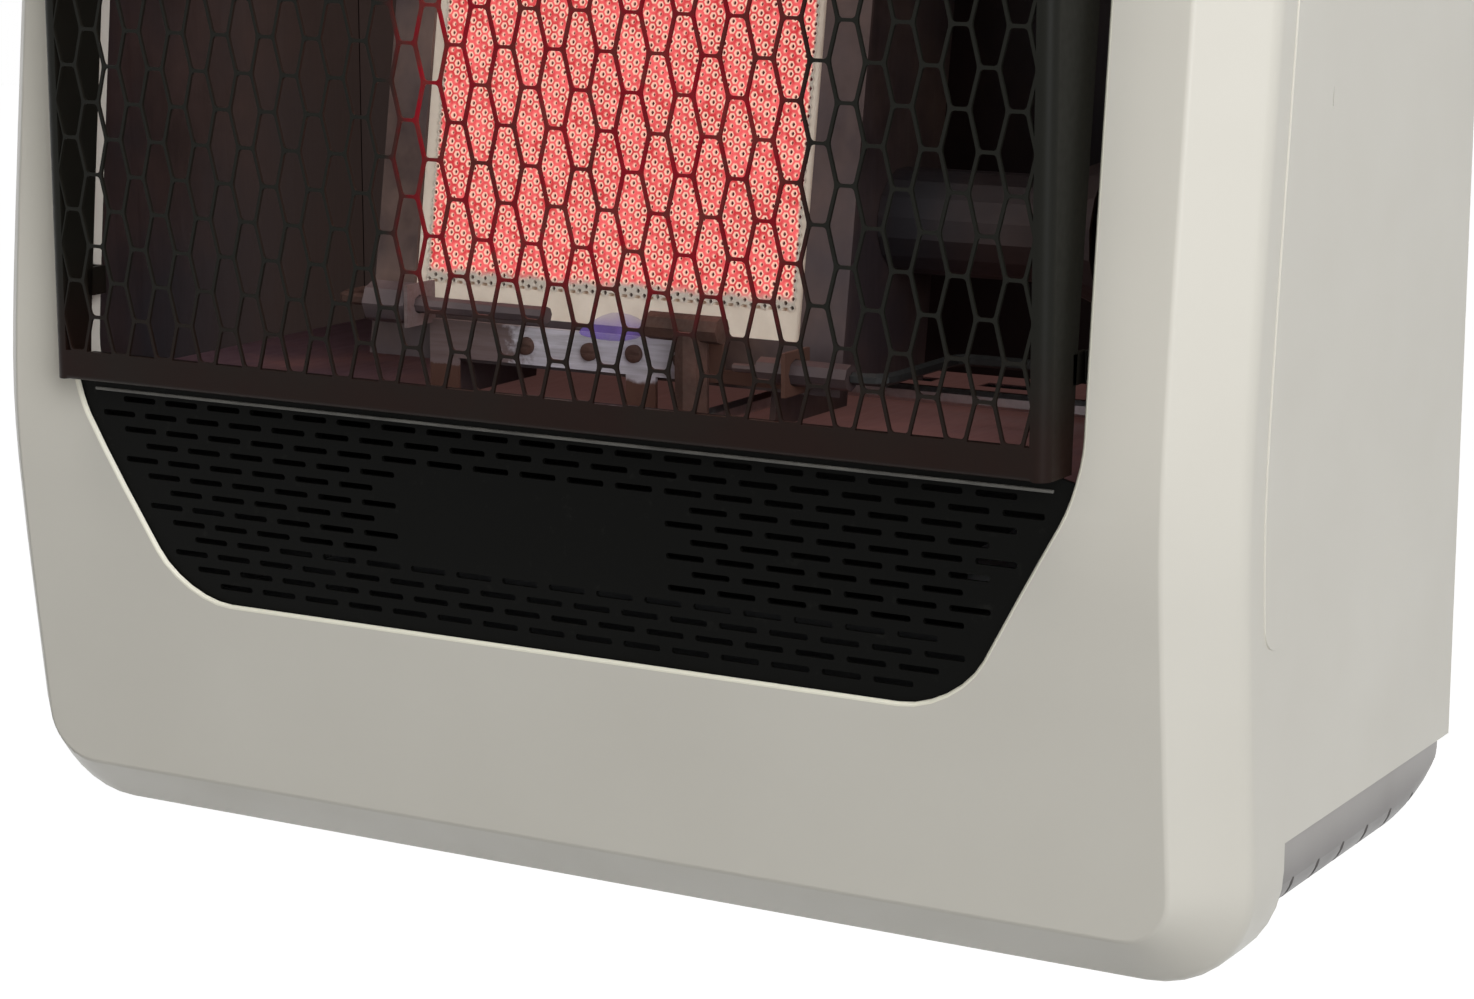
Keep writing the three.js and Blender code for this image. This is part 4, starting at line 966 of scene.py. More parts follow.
@dataclass(frozen=True)
class Cast(Finish):
    """Die-cast metal with a sandy skin."""

    light: Colour = (0.62, 0.63, 0.64)
    dark: Colour = (0.44, 0.45, 0.46)

    def mix(self, recipe: Recipe) -> None:
        """Fills in the recipe.

        Args:
            recipe: The recipe of its material.
        """
        grit = recipe.noise(1500.0, 3.0, 0.6)
        recipe.feed("Base Color", recipe.grades(recipe.noise(70.0, 4.0), (0.3, self.dark), (0.7, self.light)))
        recipe.feed("Roughness", recipe.span(grit, 0.3, 0.7, 0.42, 0.60))
        recipe.feed("Normal", recipe.relief(grit, 0.00008, 0.6))
        recipe.fixed(Metallic=0.85)


@dataclass(frozen=True)
class Moulded(Finish):
    """Moulded plastic, rubber or fibre with a fine skin."""

    light: Colour
    dark: Colour
    roughness: tuple[float, float] = (0.38, 0.52)
    skin: float = 1800.0
    relief: float = 0.00004

    def mix(self, recipe: Recipe) -> None:
        """Fills in the recipe.

        Args:
            recipe: The recipe of its material.
        """
        skin = recipe.noise(self.skin, 2.0, 0.5)
        recipe.feed("Base Color", recipe.grades(recipe.noise(90.0, 3.0), (0.3, self.dark), (0.7, self.light)))
        recipe.feed("Roughness", recipe.span(skin, 0.3, 0.7, *self.roughness))
        recipe.feed("Normal", recipe.relief(skin, self.relief, 0.5))
        recipe.fixed(Specular_IOR_Level=0.35)


@dataclass(frozen=True)
class StainedStrip(Finish):
    """The pilot's bright plate: clean in its middle, browned by heat towards its ends and on its legs."""

    bright: Colour = (0.66, 0.63, 0.70)
    dull: Colour = (0.42, 0.39, 0.42)
    stain: Colour = (0.085, 0.038, 0.026)
    left: float = -0.020
    right: float = 0.0275
    foot: float = 0.1235
    frayed_across: float = 0.030
    frayed_upwards: float = 0.004

    def mix(self, recipe: Recipe) -> None:
        """Fills in the recipe.

        Args:
            recipe: The recipe of its material.
        """
        marks = recipe.noise(1.0, 3.0, 0.6, recipe.stretched(60.0, 900.0, 900.0))
        blotch = recipe.reckon("SUBTRACT", recipe.noise(210.0, 4.0, 0.65), 0.5)
        across = recipe.reckon("ADD", recipe.along("X"), recipe.times(blotch, self.frayed_across))
        rising = recipe.reckon("ADD", recipe.along("Z"), recipe.times(blotch, self.frayed_upwards))
        ends = recipe.reckon("MAXIMUM", recipe.fade(across, self.right - 0.001, self.right + 0.002),
                             recipe.times(recipe.fade(across, self.left + 0.004, self.left - 0.003), 0.85))
        legs = recipe.fade(rising, level(self.foot), level(self.foot - 0.0015))
        browned = recipe.reckon("MAXIMUM", ends, legs)
        metal = recipe.grades(marks, (0.3, self.dull), (0.7, self.bright))
        recipe.feed("Base Color", recipe.blend(browned, metal, self.stain))
        recipe.feed("Roughness", recipe.span(browned, 0.0, 1.0, 0.30, 0.75))
        recipe.feed("Normal", recipe.relief(marks, 0.00003, 0.35))
        recipe.fixed(Metallic=0.15, Specular_IOR_Level=0.4)


@dataclass(frozen=True)
class LitCeramic(Finish):
    """The burning face of the plaque: red-hot lands, cream rings round dark holes, paler at the edges."""

    cream: Colour = (0.94, 0.56, 0.42)
    hot: tuple[Colour, Colour] = ((0.56, 0.026, 0.034), (0.86, 0.115, 0.120))
    hole: Colour = (0.036, 0.004, 0.008)
    burnt: Colour = (0.12, 0.03, 0.028)
    pale: Colour = (0.70, 0.62, 0.53)
    pale_hole_shade: Colour = (0.24, 0.17, 0.14)

    def mix(self, recipe: Recipe) -> None:
        """Fills in the recipe.

        Args:
            recipe: The recipe of its material.
        """
        heat = recipe.mark("glow_share")
        deep = recipe.span(heat, -0.05, -0.5, 0.0, 1.0)
        lands = recipe.grades(recipe.noise(230.0, 2.0, 0.6), (0.38, self.hot[0]), (0.60, self.hot[1]))
        glow = recipe.blend(recipe.span(heat, 0.12, 0.60, 0.0, 1.0), self.cream, lands)
        uneven = recipe.span(recipe.noise(160.0, 3.0), 0.3, 0.7, -0.16, 0.16)
        burning = recipe.fade(recipe.reckon("ADD", recipe.mark("inside_share"), uneven), 0.35, 0.75)
        # painted shade: the holes of the unburnt border are darker than their ceramic
        ash = recipe.blend(deep, self.pale, self.pale_hole_shade)
        recipe.feed("Base Color", recipe.blend(burning, ash, self.burnt))
        recipe.feed("Emission Color", recipe.blend(burning, BLACK, recipe.blend(deep, glow, self.hole)))
        recipe.feed("Normal", recipe.relief(recipe.noise(2400.0, 2.0), 0.00004, 0.5))
        recipe.fixed(Roughness=0.85, Emission_Strength=1.0, Specular_IOR_Level=0.2)


@dataclass(frozen=True)
class PaleCeramic(Finish):
    """Unglazed pale ceramic with a painted warm glow: a faint emission all over the block, standing for the
    fire's light on it.
    """

    light: Colour = (0.74, 0.68, 0.58)
    dark: Colour = (0.60, 0.54, 0.45)
    painted_warm_glow: tuple[Colour, Colour] = ((0.20, 0.13, 0.10), (0.26, 0.19, 0.15))

    def mix(self, recipe: Recipe) -> None:
        """Fills in the recipe.

        Args:
            recipe: The recipe of its material.
        """
        grain = recipe.noise(1700.0, 3.0, 0.6)
        recipe.feed("Base Color", recipe.grades(recipe.noise(120.0, 4.0), (0.3, self.dark), (0.7, self.light)))
        recipe.feed("Roughness", recipe.span(grain, 0.3, 0.7, 0.75, 0.92))
        recipe.feed("Normal", recipe.relief(grain, 0.0001, 0.5))
        # painted glow: a warm emission over the whole block
        painted_warm_glow = recipe.grades(recipe.noise(40.0), (0.2, self.painted_warm_glow[0]), (0.8, self.painted_warm_glow[1]))
        recipe.feed("Emission Color", painted_warm_glow)
        recipe.fixed(Emission_Strength=0.5)


@dataclass(frozen=True)
class FlameGlow(Finish):
    """The pilot's thin violet-blue flame, clear at its edges."""

    core: Colour = (0.135, 0.085, 0.30)
    skirt: Colour = (0.060, 0.035, 0.14)
    foot: float = 0.1325
    tip: float = 0.1400

    def mix(self, recipe: Recipe) -> None:
        """Fills in the recipe.

        Args:
            recipe: The recipe of its material.
        """
        lick = recipe.noise(1.0, 2.0, 0.5, recipe.stretched(160.0, 160.0, 60.0))
        body = recipe.span(recipe.along("Z"), level(self.foot), level(self.tip), 0.62, 0.18, True)
        recipe.feed("Alpha", recipe.times(body, recipe.span(lick, 0.3, 0.6, 0.45, 1.0)))
        recipe.feed("Emission Color", recipe.grades(lick, (0.3, self.skirt), (0.7, self.core)))
        recipe.fixed(Base_Color=(0.02, 0.02, 0.05), Emission_Strength=1.1, Roughness=0.9,
                     Specular_IOR_Level=0.0)


ZINC = ((0.62, 0.63, 0.63), (0.40, 0.41, 0.42), (0.34, 0.50), 0.9, (40.0, 200.0, 200.0), 130.0)


@dataclass(frozen=True)
class FinishBook:
    """Every finish of the heater, one for each slot of the record, and those of the burning parts."""

    enamel: Finish = Enamel("stove_enamel")
    guard: Finish = GuardPaint("browned_guard_paint")
    black: Finish = BlackPaint("grille_paint")
    # the side and rear sheets turn near-black on their inner sides: a dark coat that also paints the shade
    # inside the casing
    sides: Finish = Enamel("side_enamel", wall=("X", 0.16625, 0.16615))
    back: Finish = Sheet("rear_sheet", *ZINC, wall=("Y", 0.0104, 0.0107))
    zinc: Finish = Sheet("zinc_sheet", *ZINC)
    liner: Finish = Sheet("heated_liner", (0.056, 0.031, 0.028), (0.024, 0.013, 0.012), (0.50, 0.66), 0.30,
                          (120.0, 500.0, 40.0), 0.0, (0.021, 0.018, 0.022), radiance=(0.019, 0.0125, 0.0105),
                          beside_fire=(("X", -0.030, -0.060), ("Y", -0.125, -0.060)))
    floor: Finish = Sheet("heated_floor", (0.36, 0.15, 0.125), (0.15, 0.062, 0.058), (0.50, 0.66), 0.20,
                          (300.0, 60.0, 60.0), 0.0, (0.12, 0.06, 0.075), radiance=(0.050, 0.023, 0.020),
                          beside_fire=(("X", 0.138, 0.070), ("X", -0.098, -0.030),
                                       ("Z", level(0.1123), level(0.1128))))
    browned: Finish = Sheet("browned_sheet", (0.17, 0.105, 0.085), (0.040, 0.020, 0.017), (0.48, 0.64), 0.25,
                            (400.0, 400.0, 70.0), 0.0, (0.055, 0.040, 0.045))
    # dark inner lining of the front shell and the pan: partly a dark ground coat, partly painted shade inside
    # the casing
    ground: Finish = Moulded("dark_lining_and_shade", (0.030, 0.030, 0.030), (0.018, 0.018, 0.019), (0.60, 0.75),
                             900.0, 0.00005)
    # a paler enamel on the window's rounded edge: a painted highlight
    edge_highlight: Finish = Enamel("edge_highlight_enamel", (0.90, 0.87, 0.74), (0.84, 0.81, 0.69))
    # a darker, shaded copy of the stove enamel for the pan, with painted shade where it turns under
    pan: Finish = Enamel("pan_enamel_shaded", (0.40, 0.375, 0.36), (0.345, 0.325, 0.31), shade_fall=(0.105, 0.098, 0.098))
    aluminised: Finish = Sheet("aluminised_sheet", (0.56, 0.54, 0.50), (0.38, 0.36, 0.33), (0.36, 0.52), 0.85,
                               (500.0, 500.0, 60.0), 90.0)
    polished: Finish = StainedStrip("bright_strip")
    baked: Finish = Sheet("baked_steel", (0.22, 0.155, 0.150), (0.085, 0.052, 0.046), (0.45, 0.62), 0.2,
                          (400.0, 60.0, 60.0), 0.0, (0.060, 0.045, 0.050))
    # a light grey for the grille's upper edge: a painted highlight
    edge: Finish = Moulded("painted_highlight_grey", (0.17, 0.165, 0.15), (0.075, 0.072, 0.066), (0.32, 0.45),
                           700.0, 0.00002)
    ceramic: Finish = PaleCeramic("plaque_ceramic")
    fire: Finish = LitCeramic("burning_ceramic")
    fibre: Finish = Moulded("fibre_gasket", (0.80, 0.78, 0.72), (0.62, 0.60, 0.54), (0.85, 0.98), 900.0, 0.0002)
    brass: Finish = Turned("turned_brass", (0.72, 0.52, 0.22), (0.45, 0.30, 0.12))
    steel: Finish = Turned("drawn_steel", (0.58, 0.58, 0.60), (0.30, 0.29, 0.30), (0.26, 0.44))
    porcelain: Finish = Moulded("glazed_porcelain", (0.80, 0.78, 0.72), (0.66, 0.62, 0.55), (0.10, 0.22),
                                300.0, 0.00002)
    cast: Finish = Cast("die_cast_metal")
    tube: Finish = Turned("drawn_tube", (0.72, 0.73, 0.75), (0.52, 0.53, 0.55), (0.28, 0.42),
                          (900.0, 900.0, 80.0))
    copper: Finish = Turned("copper_capillary", (0.66, 0.34, 0.20), (0.36, 0.17, 0.10), (0.28, 0.45),
                            (300.0, 300.0, 300.0))
    plastic: Finish = Moulded("black_moulding", (0.020, 0.020, 0.022), (0.010, 0.010, 0.011))
    sleeve: Finish = Moulded("silicone_sleeve", (0.020, 0.020, 0.020), (0.009, 0.009, 0.009), (0.55, 0.70),
                             600.0, 0.00005)
    sooty: Finish = Moulded("sooty_steel", (0.095, 0.045, 0.034), (0.034, 0.017, 0.012), (0.60, 0.85),
                            900.0, 0.0002)
    flame: Finish = FlameGlow("pilot_flame")

    def for_node(self, node: str, slot: str) -> Finish:
        """Gives the finish of a CAD node: that of its slot, or one of its own where heat has changed it or
        where its inner side carries painted shade.

        Args:
            node: The node's name.
            slot: Its material slot in the record.

        Returns:
            The finish.
        """
        own = {
            "plaque_frame": self.browned, "burner_box": self.browned, "mixing_tube": self.liner,
            "burner_leg_left": self.browned, "burner_leg_right": self.browned, "burner_arm": self.browned,
            "orifice_plate": self.browned, "pilot_burner": self.sooty, "thermocouple": self.baked,
            "liner_floor": self.floor, "left_side_panel": self.sides, "right_side_panel": self.sides,
            "rear_panel": self.back, "spark_electrode": self.browned, "thermocouple_lead": self.sooty,
        }
        return own.get(node) or {
            "enamel": self.enamel, "guard_paint": self.guard, "black_paint": self.black,
            "galvanised_steel": self.zinc, "heated_steel": self.liner, "aluminised_steel": self.aluminised,
            "polished_steel": self.polished, "ceramic": self.ceramic, "fibre": self.fibre, "brass": self.brass,
            "spring_steel": self.steel, "porcelain": self.porcelain, "cast_aluminium": self.cast,
            "aluminium_tube": self.tube, "copper_alloy": self.copper, "black_plastic": self.plastic,
            "cable_silicone": self.sleeve,
        }[slot]


@dataclass
class FrontShell:
    """The enamelled front panel: a bowed and bevelled tray, its window, the window's lip and its beads."""

    book: FinishBook
    half: float = 0.168
    height: float = 0.500
    corner: float = 0.0255
    chamfer_width: float = 0.0135
    chamfer_depth: float = 0.014
    crease: float = 0.0008
    rim: float = 0.0022
    sheet: float = 0.001
    window_half: float = 0.136
    window_top: float = 0.375
    shoulder: float = 0.114
    sill: float = 0.0613
    sill_half: float = 0.1058
    lip_depth: float = 0.010
    lip_foot: float = 0.118
    window_edge: float = 0.0009
    bead_low: float = 0.0705
    bead_high: float = 0.4305
    bead_margin: float = 0.0065
    bead_rise: float = 0.0004
    bead_round: float = 0.006
    window_rounds: tuple[float, float, float] = (0.014, 0.010, 0.009)
    window_cut: tuple[float, float] = (-0.170, -0.095)
    lip_cut: tuple[float, float] = (-0.1494, -0.1400)
    slot_x: float = 0.1365
    slot_setback: float = 0.0066
    slot_half: Point = (0.002, 0.0012, 0.0038)
    line: BowedLine = field(default_factory=BowedLine)

    def build(self) -> bpy.types.Object:
        """Builds the whole front panel and dresses it.

        Returns:
            The finished object.
        """
        shell, lip = self.tray(), self.lip()
        shell.subtract(self.window_block("window_tool", *self.window_cut))
        self.round_window(shell)
        for side in Side:
            for height in TAB_HEIGHTS:
                lip.subtract(self.tab_slot(side, height))
        shell.take(lip)
        return shell.dress("casing", "enamel", ["front_panel"], 32.0)

    def tray(self) -> Bench:
        """Models the bowed tray with its bevelled rim and side beads, before its window is cut.

        Returns:
            The bench with the piece.
        """
        bench = Bench("front_shell")
        face, rim, rear = -self.line.depth, self.chamfer_depth - self.line.depth, -self.line.seam_depth
        bench.block((-self.half, rim, level(0.0)), (self.half, rear, level(self.height)))
        bench.pick_faces(lambda f: f.normal.y > 0.9)
        bench.drop()
        bench.pick_along(1)
        bench.bevel(self.corner, 9)
        bench.pick_faces(lambda f: f.normal.y < -0.9)
        bench.inset(self.chamfer_width)
        bench.move(y=-self.chamfer_depth)
        bends = self.line.levels(self.corner, self.height - self.corner)
        for z in [*bends, level(self.bead_low), level(self.bead_high)]:
            bench.slice((0, 0, z), (0, 0, 1))
        bench.follow(face, self.line.face)
        bench.follow(rim, lambda z: self.line.face(z) + self.chamfer_depth)
        bench.follow(rear, self.line.seam)
        self.round_fold(bench, 0.0, self.crease)
        self.round_fold(bench, self.chamfer_depth, self.rim)
        for side in Side:
            self.bead(bench, side)
        # the inner side wears the dark lining, which is partly painted shade
        bench.coat(self.book.enamel, self.book.ground)
        bench.thicken(self.sheet, lining=1)
        return bench

    def round_fold(self, bench: Bench, setback: float, width: float) -> None:
        """Rounds the fold that runs round the tray at a setback from the front face.

        Args:
            bench: The bench with the piece.
            setback: How far the fold lies behind the front face.
            width: How far the rounding reaches.
        """
        def on_fold(edge: Edge) -> bool:
            """Says whether a sharp edge lies on the fold."""
            return edge.calc_face_angle(0.0) > 0.35 and all(
                abs(p.co.y - self.line.face(p.co.z) - setback) < NEAR for p in edge.verts)
        bench.pick_edges(on_fold)
        bench.bevel(width, 4)

    def round_window(self, bench: Bench) -> None:
        """Rounds the window's edge on the front face and gives the rounding a paler enamel, a painted
        highlight.

        Args:
            bench: The bench with the piece.
        """
        def on_edge(edge: Edge) -> bool:
            """Says whether an edge is part of the window's outline on the front face.

            Args:
                edge: The edge.

            Returns:
                Whether it passes.
            """
            return edge.calc_face_angle(0.0) > 1.2 and all(
                abs(p.co.y - self.line.face(p.co.z)) < 0.0002 and abs(p.co.x) < self.window_half + NEAR
                for p in edge.verts)
        bench.open()
        bench.pick_edges(on_edge)
        bench.bevel(self.window_edge, 3)
        bench.wear(self.book.edge_highlight)

    def bead(self, bench: Bench, side: Side) -> None:
        """Raises the long bead on one side flange.

        Args:
            bench: The bench with the piece.
            side: Left or right.
        """
        low, high = level(self.bead_low), level(self.bead_high)
        way, top = side.value, self.half + self.bead_rise
        bench.pick_faces(
            lambda f: f.normal.x * way > 0.999 and low - NEAR < f.calc_center_median().z < high + NEAR)
        bench.inset(self.bead_margin)
        bench.push(x=way * self.bead_rise)
        ends = (low + self.bead_margin, high - self.bead_margin)
        bench.pick_along(0, lambda p: p.x * way > self.half and min(abs(p.z - end) for end in ends) < 0.001)
        bench.bevel(self.bead_round, 6)
        bench.pick_edges(
            lambda e: e.calc_face_angle(0.0) > 0.8 and all(abs(p.co.x * way - top) < NEAR for p in e.verts))
        bench.bevel(self.bead_rise * 0.7, 2)

    def window_block(self, name: str, front: float, rear: float) -> Bench:
        """Models the window's outline as a block between two depths.

        Args:
            name: The piece's name.
            front: Its foremost Y.
            rear: Its rearmost Y.

        Returns:
            The bench with the piece.
        """
        bench = Bench(name)
        bench.block((-self.window_half, front, level(self.sill)),
                    (self.window_half, rear, level(self.window_top)))
        bench.slice((0, 0, level(self.shoulder)), (0, 0, 1))
        bench.pick_points(lambda p: p.co.z < level(self.sill) + NEAR)
        bench.scale((self.sill_half / self.window_half, 1, 1), (0, front, level(self.sill)))
        for height, tangent in zip((self.sill, self.shoulder, self.window_top), self.window_rounds):
            bench.pick_along(1, lambda p: abs(p.z - level(height)) < NEAR)
            bench.bevel(tangent, 6)
        return bench

    def lip(self) -> Bench:
        """Models the window's return flange down its sides and across its top.

        Returns:
            The bench with the piece.
        """
        front, rear = self.lip_cut
        bench = self.window_block("window_lip", front, rear)
        bench.pick_faces(lambda f: abs(f.normal.y) > 0.9)
        bench.drop()
        bench.slice((0, 0, level(self.lip_foot)), (0, 0, 1), inner=True)
        for z in self.line.levels(self.lip_foot, self.window_top - 0.012):
            bench.slice((0, 0, z), (0, 0, 1))
        bench.follow(front, lambda z: self.line.face(z) + self.window_edge)
        bench.follow(rear, lambda z: self.line.face(z) + self.lip_depth)
        return bench.thicken(self.sheet, outwards=True).coat(self.book.enamel)

    def tab_slot(self, side: Side, height: float) -> Bench:
        """Models the tool for the slot that a guard tab passes through.

        Args:
            side: Left or right.
            height: The slot's height above the casing's lower edge.

        Returns:
            The bench with the piece.
        """
        x, y, z = side.value * self.slot_x, self.line.face(level(height)) + self.slot_setback, level(height)
        wide, deep, tall = self.slot_half
        return Bench("tab_slot").block((x - wide, y - deep, z - tall), (x + wide, y + deep, z + tall))


@dataclass
class Guard:
    """The folded guard: a hexagon net between rails, its four folds and the tabs that hold it."""

    book: FinishBook
    depth: float = 0.160
    half: float = 0.133
    sheet: float = 0.0012
    fold: float = 0.003
    low: float = 0.116
    high: float = 0.3712
    rail: float = 0.0072
    net_half: float = 0.129
    pitch_x: float = 0.006585
    pitch_z: float = 0.0172
    flat: float = 0.0044
    wire: float = 0.00078
    corner: float = 0.0007
    strand: float = 0.0007
    columns: int = 39
    rows: int = 14
    hem: float = 0.007
    entry: float = 0.002
    draft: float = 0.03
    tab_depth: float = 0.006
    tab_half: float = 0.0035
    tab_tip: float = 0.1387
    line: BowedLine = field(default_factory=BowedLine)

    def build(self) -> bpy.types.Object:
        """Builds the guard as one piece and dresses it.

        Returns:
            The finished object.
        """
        guard = self.sheet_frame()
        tabs = [self.tab(side, height) for side in Side for height in TAB_HEIGHTS]
        guard.take(self.net(), *tabs)
        nodes = ["guard_mesh", "guard_left_return", "guard_right_return", "guard_top_return", "guard_hem"]
        return guard.coat(self.book.guard).dress("casing", "guard_paint", nodes, 40.0)

    def opening(self) -> tuple[float, float]:
        """Gives the row heights between which the net lies."""
        return level(self.low + self.rail), level(self.high - self.rail)

    def net(self) -> Bench:
        """Models one hexagon of wire, repeats it over the opening and trims it at the rails.

        Returns:
            The bench with the piece.
        """
        tall = self.pitch_z / 2
        wide = self.pitch_x - self.flat / 2
        start_x = -self.pitch_x * (self.columns - 1) / 2
        bottom, top = self.opening()
        start_z = bottom + tall
        bench = Bench("guard_net")
        bench.disc((start_x, -self.depth, start_z), 1.0, 6, (math.pi / 2, math.pi / 2, 0))
        self.square_up(bench, start_x, start_z, wide, tall)
        bench.pick_faces(lambda f: True)
        bench.inset(self.wire / 2)
        bench.drop()
        edge = wide - self.wire

        def is_corner(point: bmesh.types.BMVert) -> bool:
            """Says whether a point is one of the inner corners of the wires, or an outer one off the flats.

            Args:
                point: The point.

            Returns:
                Whether it passes.
            """
            across, up = abs(point.co.x - start_x), abs(point.co.z - start_z)
            inner = across < edge and point.co.z != start_z and up < tall - self.wire / 4
            return inner or edge < across < wide - NEAR
        bench.pick_points(is_corner)
        bpy.ops.mesh.bevel(offset=self.corner, segments=3, affect="VERTICES")
        bench.close()
        bench.copies([(0, 0, 0), (self.pitch_x, 0, -tall)])
        bench.row(self.columns // 2 + 1, (2 * self.pitch_x, 0, 0)).row(self.rows + 1, (0, 0, self.pitch_z))
        bench.open()
        bench.weld()
        for place, normal in (((self.net_half, 0, 0), (1, 0, 0)), ((-self.net_half, 0, 0), (-1, 0, 0)),
                              ((0, 0, top), (0, 0, 1)), ((0, 0, bottom), (0, 0, -1))):
            bench.slice(place, normal, outer=True)
        bench.look_forward()
        bench.thicken(self.strand)
        return bench.soften(0.00022, 2, 60.0)

    def square_up(self, bench: Bench, x: float, z: float, wide: float, tall: float) -> None:
        """Scales a regular upright hexagon of radius one to the net's long one.

        Args:
            bench: The hexagon's bench.
            x: X of its middle.
            z: Z of its middle.
            wide: From its middle to a side point.
            tall: From its middle to a flat.
        """
        bench.pick_points(lambda p: True)
        bench.scale((wide, 1, tall / math.cos(math.pi / 6)), (x, -self.depth, z))
        bench.pick_points(lambda p: abs(p.co.z - z) > tall / 2)
        bench.scale((self.flat / wide, 1, 1), (x, -self.depth, z))

    def sheet_frame(self) -> Bench:
        """Models the rails and the folds from one flat sheet.

        Returns:
            The bench with the piece.
        """
        low, high = level(self.low), level(self.high)
        bench = Bench("guard")
        bench.block((-self.half, -self.depth, low), (self.half, -self.depth + 0.01, high))
        bench.pick_faces(lambda f: f.normal.y > -0.9)
        bench.drop()
        for x in (-self.net_half, self.net_half):
            bench.slice((x, 0, 0), (1, 0, 0))
        for z in [*self.opening(), *self.line.levels(self.low + 0.008, self.high - 0.008)]:
            bench.slice((0, 0, z), (0, 0, 1))
        bench.pick_faces(lambda f: self.in_window(f.calc_center_median()))
        bench.drop()
        bench.pick_edges(lambda e: e.is_boundary and all(abs(p.co.x) > self.half - NEAR for p in e.verts))
        bench.push(y=self.draft)
        bench.follow(self.draft - self.depth, lambda z: self.line.face(z) + self.entry)
        for z, reach in ((high, self.line.face(high) + self.entry + self.depth), (low, self.hem)):
            bench.pick_edges(lambda e: e.is_boundary and self.on_level(e, z) and self.within_net(e))
            bench.push(y=reach)
        bench.pick_along(2, lambda p: abs(abs(p.x) - self.half) < NEAR and abs(p.y + self.depth) < NEAR)
        bench.bevel(self.fold, 5)
        bench.pick_along(0, lambda p: min(abs(p.z - high), abs(p.z - low)) < NEAR
                         and abs(p.y + self.depth) < NEAR and abs(p.x) < self.net_half)
        bench.bevel(self.sheet, 3)
        return bench.thicken(self.sheet)

    def in_window(self, p: Vector) -> bool:
        """Says whether a point lies in the opening that the net fills."""
        bottom, top = self.opening()
        return abs(p.x) < self.net_half and bottom < p.z < top

    def on_level(self, edge: Edge, z: float) -> bool:
        """Says whether an edge of the front sheet lies on a height."""
        return all(abs(p.co.z - z) < NEAR and abs(p.co.y + self.depth) < NEAR for p in edge.verts)

    def within_net(self, edge: Edge) -> bool:
        """Says whether an edge lies between the side rails."""
        return all(abs(p.co.x) < self.net_half + NEAR for p in edge.verts)

    def tab(self, side: Side, height: float) -> Bench:
        """Models a tab that holds the guard in the window's lip: an arm and its turned blade.

        Args:
            side: Left or right.
            height: The tab's height above the casing's lower edge.

        Returns:
            The bench with the piece.
        """
        way, z = side.value, level(height)
        face = self.line.face(z) + self.tab_depth
        left, right = sorted((way * (self.half - self.sheet), way * self.half))
        bench = Bench(f"guard_tab_{side.name.lower()}_{round(height * 1000)}")
        bench.block((left, face - self.tab_depth, z - self.tab_half),
                    (right, face + self.sheet, z + self.tab_half))
        bench.slice((0, face, 0), (0, 1, 0))
        bench.pick_faces(lambda f: f.normal.x * way > 0.9 and f.calc_center_median().y > face)
        bench.push(x=way * (self.tab_tip - self.half))
        return bench.soften(0.0003, 2)


